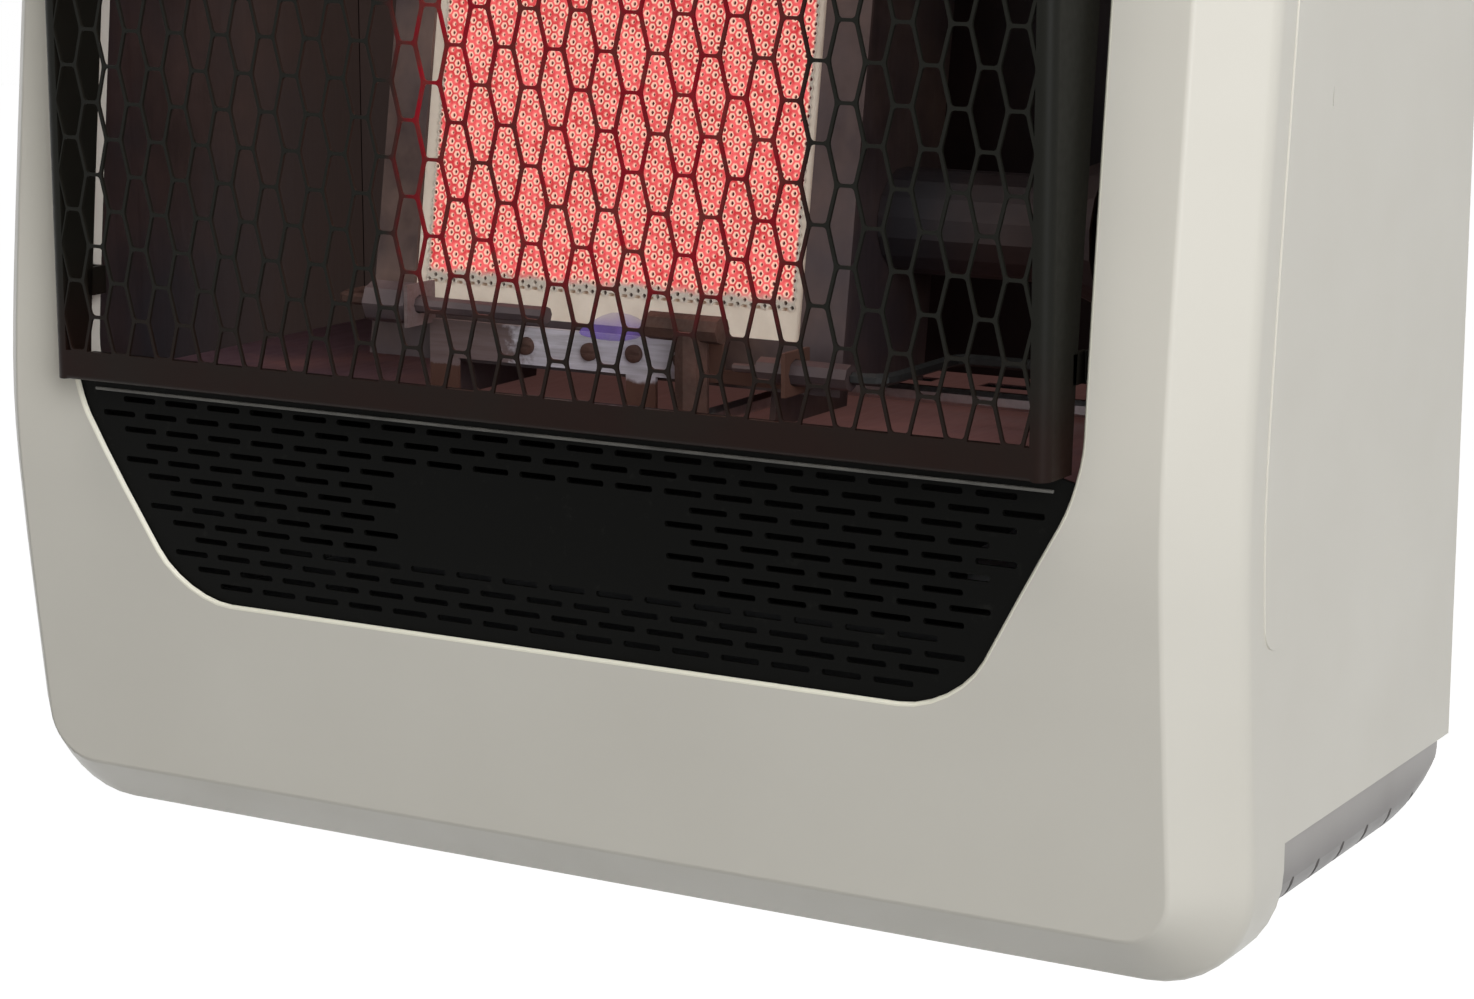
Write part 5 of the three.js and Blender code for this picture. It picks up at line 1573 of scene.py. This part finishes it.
@dataclass
class LowerGrille:
    """The bowed black plate under the guard, with rows of short slots and a bare place in its middle."""

    book: FinishBook
    setback: float = 0.0013
    sheet: float = 0.001
    slot: float = 0.0099
    slot_height: float = 0.0014
    pitch: float = 0.0129
    row_pitch: float = 0.00372
    first_row: float = 0.1102
    rows: int = 13
    bare: tuple[float, float, float, float] = (-0.040, 0.036, 0.079, 0.1005)
    edge_height: float = 0.1122
    edge_half: float = 0.1295
    half: float = 0.143
    low: float = 0.0533
    high: float = 0.121
    cuts: tuple[float, ...] = (0.104, 0.112, 0.115)
    ends: tuple[tuple[float, float, float], ...] = ((0.05, 0.054, 0.1138), (0.1149, 0.1215, 0.1312))
    foot_round: float = 0.014
    window_half: float = 0.136
    sill_half: float = 0.1058
    sill: float = 0.0613
    flare: float = 0.573
    margin: float = 0.004
    line: BowedLine = field(default_factory=BowedLine)

    def build(self) -> bpy.types.Object:
        """Builds the grille and dresses it.

        Returns:
            The finished object.
        """
        front = self.setback - self.line.depth
        bench = self.plate(front)
        bench.subtract(self.slots(front))
        bench.open()
        for row in range(self.rows + 1):
            bench.slice((0, 0, level(self.first_row) - (row - 0.5) * self.row_pitch), (0, 0, 1))
        bench.follow(front, lambda z: self.line.face(z) + self.setback)
        bench.follow(front + self.sheet, lambda z: self.line.face(z) + self.setback + self.sheet)
        bench.coat(self.book.black).take(self.edge())
        return bench.dress("casing", "black_paint", ["lower_grille"], 30.0)

    def edge(self) -> Bench:
        """Models the plate's folded upper edge just under the guard, in a light grey that paints its highlight.

        Returns:
            The bench with the piece.
        """
        bench = Bench("grille_edge")
        y, z = self.line.face(level(self.edge_height)) + self.setback, level(self.edge_height)
        bench.block((-self.edge_half, y - 0.0006, z - 0.00035), (self.edge_half, y + 0.0004, z + 0.00035))
        # the light grey finish paints the edge's highlight
        return bench.soften(0.0002, 2).coat(self.book.edge)

    def plate(self, front: float) -> Bench:
        """Models the flat plate in its outline.

        Args:
            front: Y of its front, before it is bowed.

        Returns:
            The bench with the piece.
        """
        bench = Bench("grille_plate")
        bench.block((-self.half, front, level(self.low)), (self.half, front + self.sheet, level(self.high)))
        for height in self.cuts:
            bench.slice((0, 0, level(height)), (0, 0, 1))
        for low, high, half in self.ends:
            bench.pick_points(lambda p: level(low) < p.co.z < level(high))
            bench.scale((half / self.half, 1, 1), (0, front, level(low)))
        bench.pick_along(1, lambda p: p.z < level(self.low) + 0.0007)
        bench.bevel(self.foot_round, 6)
        return bench

    def slots(self, front: float) -> Bench:
        """Models one rounded slot tool and copies it to every place of the staggered rows.

        Args:
            front: Y of the plate's front.

        Returns:
            The bench with the piece.
        """
        bench = Bench("slot_tool")
        wide, tall = self.slot / 2, self.slot_height / 2
        bench.block((-wide, front - 0.004, -tall), (wide, front + 0.005, tall))
        bench.pick_along(1)
        bench.bevel(self.slot_height * 0.42, 2)
        return bench.copies(self.places())

    def places(self) -> list[Point]:
        """Lists the middles of the slots, leaving the middle of the plate bare.

        Returns:
            The places.
        """
        left, right, low, high = self.bare
        reach = math.ceil(self.window_half / self.pitch) + 1
        found = []
        for row in range(self.rows):
            height = self.first_row - row * self.row_pitch
            half = min(self.window_half, self.sill_half + (height - self.sill) * self.flare)
            room = half - self.margin - self.slot / 2
            shift = self.pitch / 2 if row % 2 else 0.0
            for step in range(-reach, reach):
                x = step * self.pitch + shift
                bare = left < x < right and low < height < high
                if abs(x) <= room and not bare:
                    found.append((x, 0.0, level(height)))
        return found


@dataclass
class Plaque:
    """The ceramic plaque: a pale block whose face is a tile of burning hexagons, each with its hole."""

    book: FinishBook
    half: float = 0.0562
    tall: float = 0.150
    lap: float = 0.003
    front: float = 0.0003
    thick: float = 0.0127
    pitch: float = 0.00206
    columns: int = 57
    rows: int = 67
    ring: float = 0.00040
    rim: float = 0.00016
    hole_depth: float = 0.0018
    tile_depth: float = 0.0023
    border: float = 0.0006
    cool_sides: float = 0.0022
    cool_foot: float = 0.0055
    cool_top: float = 0.003
    pivot: Point = (0.0, -0.121, -0.286)
    lean: float = 0.1623

    def matrix(self) -> Matrix:
        """Gives the place of the leaning burner."""
        return Matrix.Translation(self.pivot) @ Matrix.Rotation(-math.atan(self.lean), 4, "X")

    def build(self) -> bpy.types.Object:
        """Builds the plaque and dresses it.

        Returns:
            The finished object.
        """
        tile = self.tile().coat(self.book.fire)
        tile.take(self.block().coat(self.book.ceramic))
        tile.place(self.matrix())
        return tile.dress("casing", "ceramic", ["ceramic_plaque"], 25.0)

    def block(self) -> Bench:
        """Models the plaque's body with a sunk field for the tile.

        Returns:
            The bench with the piece.
        """
        bench = Bench("plaque_block")
        bench.block((-self.half, self.front, -self.lap),
                    (self.half, self.front + self.thick, self.tall + self.lap))
        bench.pick_faces(lambda f: f.normal.y < -0.9)
        bench.inset(self.border)
        field_half = (self.columns - 1) / 2 * self.pitch * math.sqrt(3) / 2 + self.pitch * 0.35
        bench.pick_faces(lambda f: f.normal.y < -0.9 and f.calc_area() > 0.01)
        edge = self.half - self.border
        bench.inset(edge - field_half)
        low, high = self.field()
        foot = -self.lap + self.border + edge - field_half
        head = self.tall + self.lap - self.border - edge + field_half
        bench.pick_points(lambda p: abs(abs(p.co.x) - field_half) < NEAR and p.co.z < self.tall / 2)
        bench.move(z=low - foot)
        bench.pick_points(lambda p: abs(abs(p.co.x) - field_half) < NEAR and p.co.z > self.tall / 2)
        bench.move(z=high - head)
        bench.pick_faces(
            lambda f: f.normal.y < -0.9 and abs(f.calc_center_median().x) < NEAR and f.calc_area() > 0.01)
        bench.push(y=self.tile_depth + 0.0002)
        return bench.close()

    def field(self) -> tuple[float, float]:
        """Gives the lowest and highest edge of the sunk field."""
        foot = (self.tall - (self.rows - 0.5) * self.pitch) / 2
        return foot + self.pitch * 0.15, self.tall - foot - self.pitch * 0.15

    def tile(self) -> Bench:
        """Models one hexagon with its ring and hole, marks its heat, and repeats it over the field.

        Returns:
            The bench with the piece.
        """
        radius = self.pitch / math.sqrt(3)
        step = radius * 1.5
        x = -(self.columns - 1) / 2 * step
        z = (self.tall - (self.rows - 0.5) * self.pitch) / 2 + self.pitch / 2
        bench = Bench("burner_plaque")
        bench.disc((x, self.front, z), radius, 6, (math.pi / 2, math.pi / 2, 0))
        bench.look_forward()
        bench.pick_faces(lambda f: True)
        bench.inset(self.ring)
        bench.inset(self.rim)
        bench.push(y=self.hole_depth)
        self.mark_heat(bench, x, z)
        bench.close()
        bench.copies([(0, 0, 0), (step, 0, self.pitch / 2)])
        bench.row(self.columns // 2 + 1, (2 * step, 0, 0)).row(self.rows, (0, 0, self.pitch))
        bench.open()
        bench.pick_faces(lambda f: f.calc_center_median().x > -x + step / 2)
        bench.drop()
        bench.weld()
        bench.pick_edges(lambda e: e.is_boundary)
        bench.push(y=self.tile_depth)
        bpy.ops.mesh.edge_face_add()
        bench.weld(1e-7)
        self.mark_plain(bench, (x, z), step)
        self.mark_edge(bench)
        return bench.close()

    def mark_heat(self, bench: Bench, x: float, z: float) -> None:
        """Writes how hot each point of the first hexagon is: 1 on the land, 0 on the ring, less in the hole.

        Args:
            bench: The bench with the piece.
            x: X of the hexagon's middle.
            z: Z of the hexagon's middle.
        """
        bench.close()
        mesh = bench.object.data
        heat = mesh.attributes.new("glow_share", "FLOAT", "POINT")
        for point, mark in zip(mesh.vertices, heat.data):
            away = math.hypot(point.co.x - x, point.co.z - z)
            deep = point.co.y > self.front + NEAR
            mark.value = -1.0 if deep else (1.0 if away > self.pitch * 0.5 else 0.0)
        bench.open()

    def mark_plain(self, bench: Bench, first: tuple[float, float], step: float) -> None:
        """Takes the pale ring away from every third hexagon, so that its ring glows as its land does.

        Args:
            bench: The tile.
            first: X and Z of the first hexagon.
            step: Distance from column to column.
        """
        bench.close()
        mesh = bench.object.data
        for point, mark in zip(mesh.vertices, mesh.attributes["glow_share"].data):
            column = round((point.co.x - first[0]) / step)
            row = round((point.co.z - first[1]) / self.pitch - (column % 2) / 2)
            if mark.value == 0.0 and (column + row - column // 2) % 3 == 0:
                mark.value = 0.5
        bench.open()

    def mark_edge(self, bench: Bench) -> None:
        """Writes how far each point of the tile is inside its border, from 0 at the border to 1.

        Args:
            bench: The bench with the piece.
        """
        bench.close()
        mesh = bench.object.data
        edge = mesh.attributes.new("inside_share", "FLOAT", "POINT")
        low, high = self.field()
        reach = max(p.co.x for p in mesh.vertices)
        for point, mark in zip(mesh.vertices, edge.data):
            sides = (reach - abs(point.co.x)) / self.cool_sides
            foot, head = (point.co.z - low) / self.cool_foot, (high - point.co.z) / self.cool_top
            mark.value = max(0.0, min(1.0, sides, foot, head))
        bench.open()


@dataclass
class BasePan:
    """The tray under the casing: straight shoulders, rolled and vented lower edges, and a swept rear."""

    book: FinishBook
    half: float = 0.1654
    step: float = 0.0005
    front: float = -0.1217
    rear: float = -0.0013
    top: float = 0.040
    shoulder: float = 0.0318
    foot: float = 0.0118
    roll: float = 0.0095
    sweep: float = 0.029
    rise: float = 0.0145
    corner: float = 0.0015
    sheet: float = 0.001
    steps: int = 8
    vents: int = 6
    vent_pitch: float = 0.0155
    first_vent: float = -0.096
    vent_half: float = 0.00095
    inlet: tuple[float, float] = (0.088, -0.052)
    inlet_radius: float = 0.0073

    def build(self) -> bpy.types.Object:
        """Builds the pan and dresses it.

        Returns:
            The finished object.
        """
        bench = Bench("base_tray")
        bench.block((-self.half, self.front, level(self.foot)), (self.half, self.rear, level(self.top)))
        bench.pick_faces(lambda f: f.normal.z > 0.9)
        bench.drop()
        self.roll_sides(bench)
        self.sweep_rear(bench)
        bench.weld()
        # outside the pan's shaded enamel, inside the dark lining; both carry painted shade
        bench.coat(self.book.pan, self.book.ground)
        bench.thicken(self.sheet, lining=1)
        for tool in self.tools():
            bench.subtract(tool)
        return bench.dress("casing", "enamel", ["base_pan"], 35.0)

    def roll_sides(self, bench: Bench) -> None:
        """Steps the sides in under the shoulder and rolls them under, level by level.

        Args:
            bench: The bench with the piece.
        """
        turns = [math.pi / 2 * i / self.steps for i in range(self.steps)]
        levels = [(self.foot + self.roll * (1 - math.sin(turn)), self.step + self.roll * (1 - math.cos(turn)))
                  for turn in turns]
        levels = [(self.shoulder, 0.0), (self.shoulder - self.step, self.step), *levels]
        for height, _ in levels:
            bench.slice((0, 0, level(height)), (0, 0, 1))
        for height, inset in [*levels, (self.foot, self.step + self.roll)]:
            bench.pick_points(lambda p: abs(p.co.z - level(height)) < NEAR)
            bench.scale((1 - inset / self.half, 1, 1), (0, 0, 0))

    def sweep_rear(self, bench: Bench) -> None:
        """Sweeps the bottom up to the rear and rounds the rear corners, station by station.

        Args:
            bench: The bench with the piece.
        """
        hinge = level(self.shoulder - self.step)
        start = self.rear - self.sweep
        turns = [math.pi / 2 * i / self.steps for i in range(self.steps + 1)]
        for turn in turns[:-1]:
            bench.slice((0, start + self.sweep * math.sin(turn), 0), (0, 1, 0))
        for turn in turns[1:]:
            y = start + self.sweep * math.sin(turn)
            past = max(0.0, self.corner - (self.rear - y))
            inset = self.corner - math.sqrt(max(0.0, self.corner ** 2 - past ** 2))
            bench.pick_points(lambda p: abs(p.co.y - y) < NEAR)
            bench.scale((1 - inset / self.half, 1, 1), (0, 0, 0))
            lift = self.rise * (1 - math.cos(turn))
            bench.pick_points(lambda p: abs(p.co.y - y) < NEAR and p.co.z < hinge + NEAR)
            bench.scale((1, 1, 1 - lift / (hinge - level(self.foot))), (0, 0, hinge))

    def tools(self) -> list[Bench]:
        """Models the tools for the vents across the rolls and the hole of the gas inlet.

        Returns:
            The tools.
        """
        made = []
        deep, wide, tall = self.roll * 0.75, self.vent_half, self.roll * 0.84
        for side in Side:
            bench = Bench("vent_tool")
            bench.block((-deep, -wide, -0.001), (0.002, wide, tall))
            bench.pick_along(0, lambda p: p.z > 0)
            bench.bevel(wide * 0.9, 3)
            x = side.value * (self.half - self.step)
            if side is Side.LEFT:
                bench.place(Matrix.Rotation(math.pi, 4, "Z"))
            bench.copies([(x, self.vent_pitch * i + self.first_vent, level(self.foot))
                          for i in range(self.vents)])
            made.append(bench)
        hole = Bench("inlet_hole")
        hole.drum((*self.inlet, level(self.foot)), self.inlet_radius, 0.010, 32)
        return made + [hole]


@dataclass
class TopCover:
    """The arched cover over the controls, with rows of rounded louvre slots and two holes."""

    book: FinishBook
    half: float = 0.1667
    depth: float = 0.071
    low: float = 0.4698
    top: float = 0.4987
    corner: float = 0.0242
    sheet: float = 0.001
    louvre: Point = (0.044, 0.003, 0.004)
    louvre_round: float = 0.0029
    first_louvre: tuple[float, float] = (-0.150, -0.018)
    louvre_pitch: tuple[float, float] = (0.052, 0.0125)
    louvres: int = 4
    knob_hole: float = 0.008
    igniter_hole: float = 0.0073

    def build(self) -> bpy.types.Object:
        """Builds the cover and dresses it.

        Returns:
            The finished object.
        """
        bench = Bench("cover_sheet")
        bench.block((-self.half, -self.depth, level(self.low)), (self.half, 0.0, level(self.top)))
        bench.pick_faces(lambda f: f.normal.z < -0.9 or abs(f.normal.y) > 0.9)
        bench.drop()
        bench.pick_along(1, lambda p: p.z > level(self.low) + NEAR)
        bench.bevel(self.corner, 10)
        bench.thicken(self.sheet)
        for tool in self.tools():
            bench.subtract(tool)
        return bench.coat(self.book.enamel).dress("casing", "enamel", ["top_cover"], 30.0)

    def tools(self) -> list[Bench]:
        """Models the tools for the louvre slots and for the holes of the knob and the igniter.

        Returns:
            The tools.
        """
        tool = Bench("louvre_tool")
        (long, wide, tall), (x, y), (column, row) = self.louvre, self.first_louvre, self.louvre_pitch
        tool.block((0.0, -wide, -tall), (long, wide, tall))
        tool.pick_along(2)
        tool.bevel(self.louvre_round, 4)
        tool.copies([(column * c + x, y - row * r, level(self.top))
                     for r in range(self.louvres) for c in range(self.louvres)])
        holes = [Bench("cover_hole").drum((x, CONTROL_Y, level(self.top)), radius, 0.010, 32)
                 for x, radius in ((KNOB_X, self.knob_hole), (IGNITER_X, self.igniter_hole))]
        return [tool, *holes]


@dataclass
class Controls:
    """The knob and the igniter on top: a skirted knob with a grip, and a capped push button."""

    book: FinishBook
    foot: float = 0.5023
    radius: float = 0.021
    skirt: float = 0.005
    sides: int = 72
    height: float = 0.018
    grip: float = 0.004
    grip_margin: float = 0.0012
    pointer_half: float = 0.0005
    shaft_foot: float = 0.480
    shaft_radius: float = 0.005
    cap_foot: float = 0.5098
    cap_top: float = 0.5138
    cap_flare: float = 1.3

    def build(self) -> list[bpy.types.Object]:
        """Builds the knob and the button, each on its own body."""
        return [self.knob(), self.button()]

    def knob(self) -> bpy.types.Object:
        """Models the knob: a fluted skirt, a dished top and a tapered grip.

        Returns:
            The finished object.
        """
        bench = Bench("gas_knob")
        bench.drum((KNOB_X, CONTROL_Y, level(self.foot + self.skirt / 2)), self.radius, self.skirt, self.sides)
        bench.pick_faces(lambda f: abs(f.normal.z) < 0.1 and self.is_flute(f))
        bench.inset(0.0004, 0.0, each=True)
        bpy.ops.mesh.extrude_faces_move(TRANSFORM_OT_shrink_fatten={"value": -0.0005})
        bench.pick_faces(lambda f: f.normal.z > 0.9 and f.calc_area() > 0.0005)
        bench.inset(0.0012, 0.0006)
        bench.inset(0.0030)
        bench.inset(0.0014, -0.0006)
        bench.soften(0.00025, 2, 50.0)
        bench.coat(self.book.plastic).take(self.knob_grip(), self.knob_pointer())
        return bench.dress("knob", "black_plastic", ["control_knob"], 35.0)

    def knob_grip(self) -> Bench:
        """Models the tapered bar that the fingers hold.

        Returns:
            The bench with the piece.
        """
        low, high = level(self.foot + 0.001), level(self.foot + self.height)
        reach = self.radius - self.grip_margin
        bench = Bench("knob_grip")
        bench.block((KNOB_X - reach, CONTROL_Y - self.grip, low), (KNOB_X + reach, CONTROL_Y + self.grip, high))
        bench.pick_faces(lambda f: f.normal.z > 0.9)
        bench.scale((0.82, 0.72, 1), (KNOB_X, CONTROL_Y, high))
        bench.pick_edges(lambda e: sum(p.co.z for p in e.verts) > 2 * low + NEAR)
        bench.bevel(0.0016, 4)
        return bench.close().coat(self.book.plastic)

    def knob_pointer(self) -> Bench:
        """Models the pale line on top of the grip that points at the setting.

        Returns:
            The bench with the piece.
        """
        high, wide = level(self.foot + self.height), self.pointer_half
        bench = Bench("knob_pointer")
        bench.block((KNOB_X - wide, CONTROL_Y - self.radius * 0.16, high - 0.0004),
                    (KNOB_X + wide, CONTROL_Y - 0.0005, high + 0.00005))
        return bench.soften(0.0001, 1).coat(self.book.porcelain)

    def is_flute(self, face: Face) -> bool:
        """Says whether a side face of the skirt is one of every third, which carries a flute.

        Args:
            face: The face.

        Returns:
            Whether it passes.
        """
        middle = face.calc_center_median()
        turn = math.atan2(middle.y - CONTROL_Y, middle.x - KNOB_X)
        return round((turn + math.pi) / (2 * math.pi) * self.sides - 0.5) % 3 == 0

    def button(self) -> bpy.types.Object:
        """Models the igniter's push button: a shaft and a dished cap with a rolled edge.

        Returns:
            The finished object.
        """
        low, cap, top = level(self.shaft_foot), level(self.cap_foot), level(self.cap_top)
        bench = Bench("spark_button")
        bench.drum((IGNITER_X, CONTROL_Y, (low + cap) / 2), self.shaft_radius, cap - low, 40)
        bench.pick_faces(lambda f: f.normal.z > 0.9)
        bench.push()
        bench.scale((self.cap_flare, self.cap_flare, 1), (IGNITER_X, CONTROL_Y, cap))
        bench.push(z=top - cap)
        bench.inset(0.0016)
        bench.inset(0.0012, -0.0007)
        bench.soften(0.0007, 4, 50.0)
        return bench.coat(self.book.plastic).dress("button", "black_plastic", ["igniter_button"], 35.0)


@dataclass
class Pilot:
    """Small parts in front of the pilot's bright plate: its screws and its flame."""

    book: FinishBook
    plate_y: float = -0.1265
    hood_height: float = 0.137
    head: float = 0.0021
    screws_at: tuple[tuple[float, float], ...] = (
        (-0.0173, 0.1285), (0.0003, 0.1285), (0.0125, 0.1290), (0.0254, 0.1285))
    flame_start: float = 0.001
    flame_long: float = 0.018
    flame_radius: float = 0.0032
    flame_y: float = -0.1325
    flame_sizes: tuple[tuple[float, float, float], ...] = (
        (0.001, 0.16, -0.0022), (0.0055, 0.72, -0.0010), (0.010, 1.10, 0.0), (0.0145, 1.0, 0.0),
        (0.019, 0.55, 0.0))

    def build(self) -> list[bpy.types.Object]:
        """Builds the screws and the flame."""
        return [self.screws(), self.flame()]

    def screws(self) -> bpy.types.Object:
        """Models one slotted round head and copies it to the plate's four places.

        Returns:
            The finished object.
        """
        bench = Bench("pilot_screws")
        bench.drum((0, self.plate_y - 0.0005, 0), self.head, 0.0011, 24, (math.pi / 2, 0, 0))
        bench.pick_faces(lambda f: f.normal.y < -0.9)
        bench.inset(0.0006, 0.0004)
        bench.inset(0.0005, 0.0001)
        bench.close()
        slot = Bench("screw_slot")
        slot.block((-0.0018, self.plate_y - 0.0030, -0.00035), (0.0018, self.plate_y - 0.00125, 0.00035))
        bench.subtract(slot)
        bench.copies([(x, 0, level(height)) for x, height in self.screws_at])
        return bench.coat(self.book.sooty).dress("casing", "polished_steel", (), 35.0)

    def flame(self) -> bpy.types.Object:
        """Models the pilot's flame as a thin drop that leans along the hood.

        Returns:
            The finished object.
        """
        bench = Bench("pilot_flame")
        y, z = self.flame_y, level(self.hood_height - 0.001)
        bench.drum((0.010, y, z), self.flame_radius, self.flame_long, 20, (0, math.pi / 2, 0))
        for share in (0.25, 0.5, 0.75):
            bench.slice((self.flame_start + self.flame_long * share, 0, 0), (1, 0, 0))
        for x, size, rise in self.flame_sizes:
            bench.pick_points(lambda p: abs(p.co.x - x) < 0.0004)
            bench.scale((1, size, size), (x, y, z))
            bench.move(z=rise)
        bench.modify("SUBSURF", levels=1, render_levels=1)
        return bench.coat(self.book.flame).dress("casing", "polished_steel", (), 60.0)


@dataclass(frozen=True)
class Panel:
    """A soft panel light: where it hangs, its width and height, its power in watts and its colour."""

    name: str
    place: Point
    size: tuple[float, float]
    power: float
    colour: Colour


@dataclass
class Studio:
    """The camera, the soft lights, the pale floor and the white backdrop."""

    place: Point = (0.43595, -0.80135, -0.16535)
    pitch: float = 11.349
    yaw: float = 30.4193
    lens: float = 85.634
    sensor: float = 36.0
    floor: float = -1.0
    floor_size: float = 14.0
    floor_tones: tuple[Colour, Colour] = ((0.44, 0.44, 0.43), (0.48, 0.48, 0.47))
    sky: float = 0.08
    spread: float = 90.0
    aim: Point = (0.0, -0.07, -0.17)
    panels: tuple[Panel, ...] = (
        Panel("key_panel", (1.58, -1.36, 0.47), (1.3, 1.5), 12.4, (0.98, 0.99, 1.0)),
        Panel("fill_panel", (-1.5, -1.8, 0.8), (1.6, 1.6), 0.9, (1.0, 0.95, 0.86)),
        Panel("top_panel", (0.1, -0.55, 1.9), (1.4, 1.0), 7.5, (1.0, 0.97, 0.91)),
        Panel("rear_panel_light", (-0.4, 2.2, 0.5), (1.6, 1.2), 3.5, (1.0, 1.0, 1.0)),
    )

    def build(self) -> None:
        """Sets up the whole studio."""
        scene = bpy.context.scene
        scene.view_settings.view_transform = "Standard"
        self.camera(scene)
        self.world(scene)
        self.ground()
        for panel in self.panels:
            self.lamp(panel)
        log.info("studio: %d panel lights", len(self.panels))

    def camera(self, scene: bpy.types.Scene) -> None:
        """Places the camera at the photograph's viewpoint.

        Args:
            scene: The scene.
        """
        data = bpy.data.cameras.new("camera")
        data.sensor_fit = "HORIZONTAL"
        data.sensor_width = self.sensor
        data.lens = self.lens
        camera = bpy.data.objects.new("camera", data)
        camera.location = self.place
        camera.rotation_euler = (math.radians(90 - self.pitch), 0.0, math.radians(self.yaw))
        scene.collection.objects.link(camera)
        scene.camera = camera

    def lamp(self, panel: Panel) -> None:
        """Hangs a soft panel light that looks at the heater.

        Args:
            panel: The light.
        """
        data = bpy.data.lights.new(panel.name, "AREA")
        data.shape = "RECTANGLE"
        data.size, data.size_y = panel.size
        data.energy, data.color = panel.power, panel.colour
        data.spread = math.radians(self.spread)
        lamp = bpy.data.objects.new(panel.name, data)
        lamp.location = panel.place
        lamp.rotation_euler = (Vector(self.aim) - Vector(panel.place)).to_track_quat("-Z", "Y").to_euler()
        bpy.context.scene.collection.objects.link(lamp)

    @staticmethod
    def plain_rays(tree: bpy.types.NodeTree) -> Socket:
        """Gives 1 to the rays that see plain white: those of the camera, of gloss and through glass.

        Args:
            tree: The tree that gets the nodes.

        Returns:
            The share, 0 or 1.
        """
        rays = tree.nodes.new("ShaderNodeLightPath")
        seen = rays.outputs["Is Camera Ray"]
        for name in ("Is Glossy Ray", "Is Transmission Ray"):
            larger = tree.nodes.new("ShaderNodeMath")
            larger.operation = "MAXIMUM"
            tree.links.new(seen, larger.inputs[0])
            tree.links.new(rays.outputs[name], larger.inputs[1])
            seen = larger.outputs[0]
        return seen

    def world(self, scene: bpy.types.Scene) -> None:
        """Lights everything softly and shows plain white to the camera, to gloss and through glass.

        Args:
            scene: The scene.
        """
        world = bpy.data.worlds.new("backdrop")
        world.use_nodes = True
        tree = world.node_tree
        strength = tree.nodes.new("ShaderNodeMapRange")
        strength.inputs["To Min"].default_value = self.sky
        strength.inputs["To Max"].default_value = 1.0
        tree.links.new(self.plain_rays(tree), strength.inputs["Value"])
        tree.links.new(strength.outputs["Result"], tree.nodes["Background"].inputs["Strength"])
        tree.nodes["Background"].inputs["Color"].default_value = (1.0, 1.0, 1.0, 1.0)
        scene.world = world

    def ground(self) -> None:
        """Lays the pale floor, which shows white to the camera and still takes the shadow."""
        bpy.ops.object.select_all(action="DESELECT")
        bpy.ops.mesh.primitive_plane_add(size=self.floor_size, location=(0, 0, self.floor))
        floor = bpy.context.active_object
        floor.name = "floor"
        bpy.ops.object.transform_apply(location=True, rotation=True, scale=True)
        recipe = Recipe("pale_floor")
        dark, light = self.floor_tones
        recipe.feed("Base Color", recipe.grades(recipe.noise(2.0, 2.0), (0.3, dark), (0.7, light)))
        recipe.fixed(Roughness=0.9, Specular_IOR_Level=0.1, Emission_Color=(1.0, 1.0, 1.0))
        seen = self.plain_rays(recipe.made.node_tree)
        recipe.feed("Emission Strength", recipe.span(seen, 0.0, 1.0, 0.0, 0.95))
        floor.data.materials.append(recipe.made)
        bpy.ops.object.select_all(action="DESELECT")


@dataclass
class CarriedParts:
    """The CAD nodes that stay as they are and get their finish by the record's slots."""

    book: FinishBook

    def dress(self) -> None:
        """Gives every CAD node its finish."""
        for part in frame["record"]["subparts"]:
            node = frame["nodes"][part["node"]]
            finish = self.book.for_node(part["node"], part["material_slot"])
            node.data.materials.clear()
            node.data.materials.append(finish.material())


def main() -> None:
    """Builds every part of the heater and the studio around it."""
    logging.basicConfig(level=logging.INFO, format="%(name)s: %(message)s")
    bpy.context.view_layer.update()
    bpy.ops.object.select_all(action="DESELECT")
    book = FinishBook()
    Studio().build()
    CarriedParts(book).dress()
    for part in (FrontShell(book), Guard(book), LowerGrille(book), Plaque(book), BasePan(book), TopCover(book),
                 Controls(book), Pilot(book)):
        part.build()


if __name__ == "__main__":
    main()
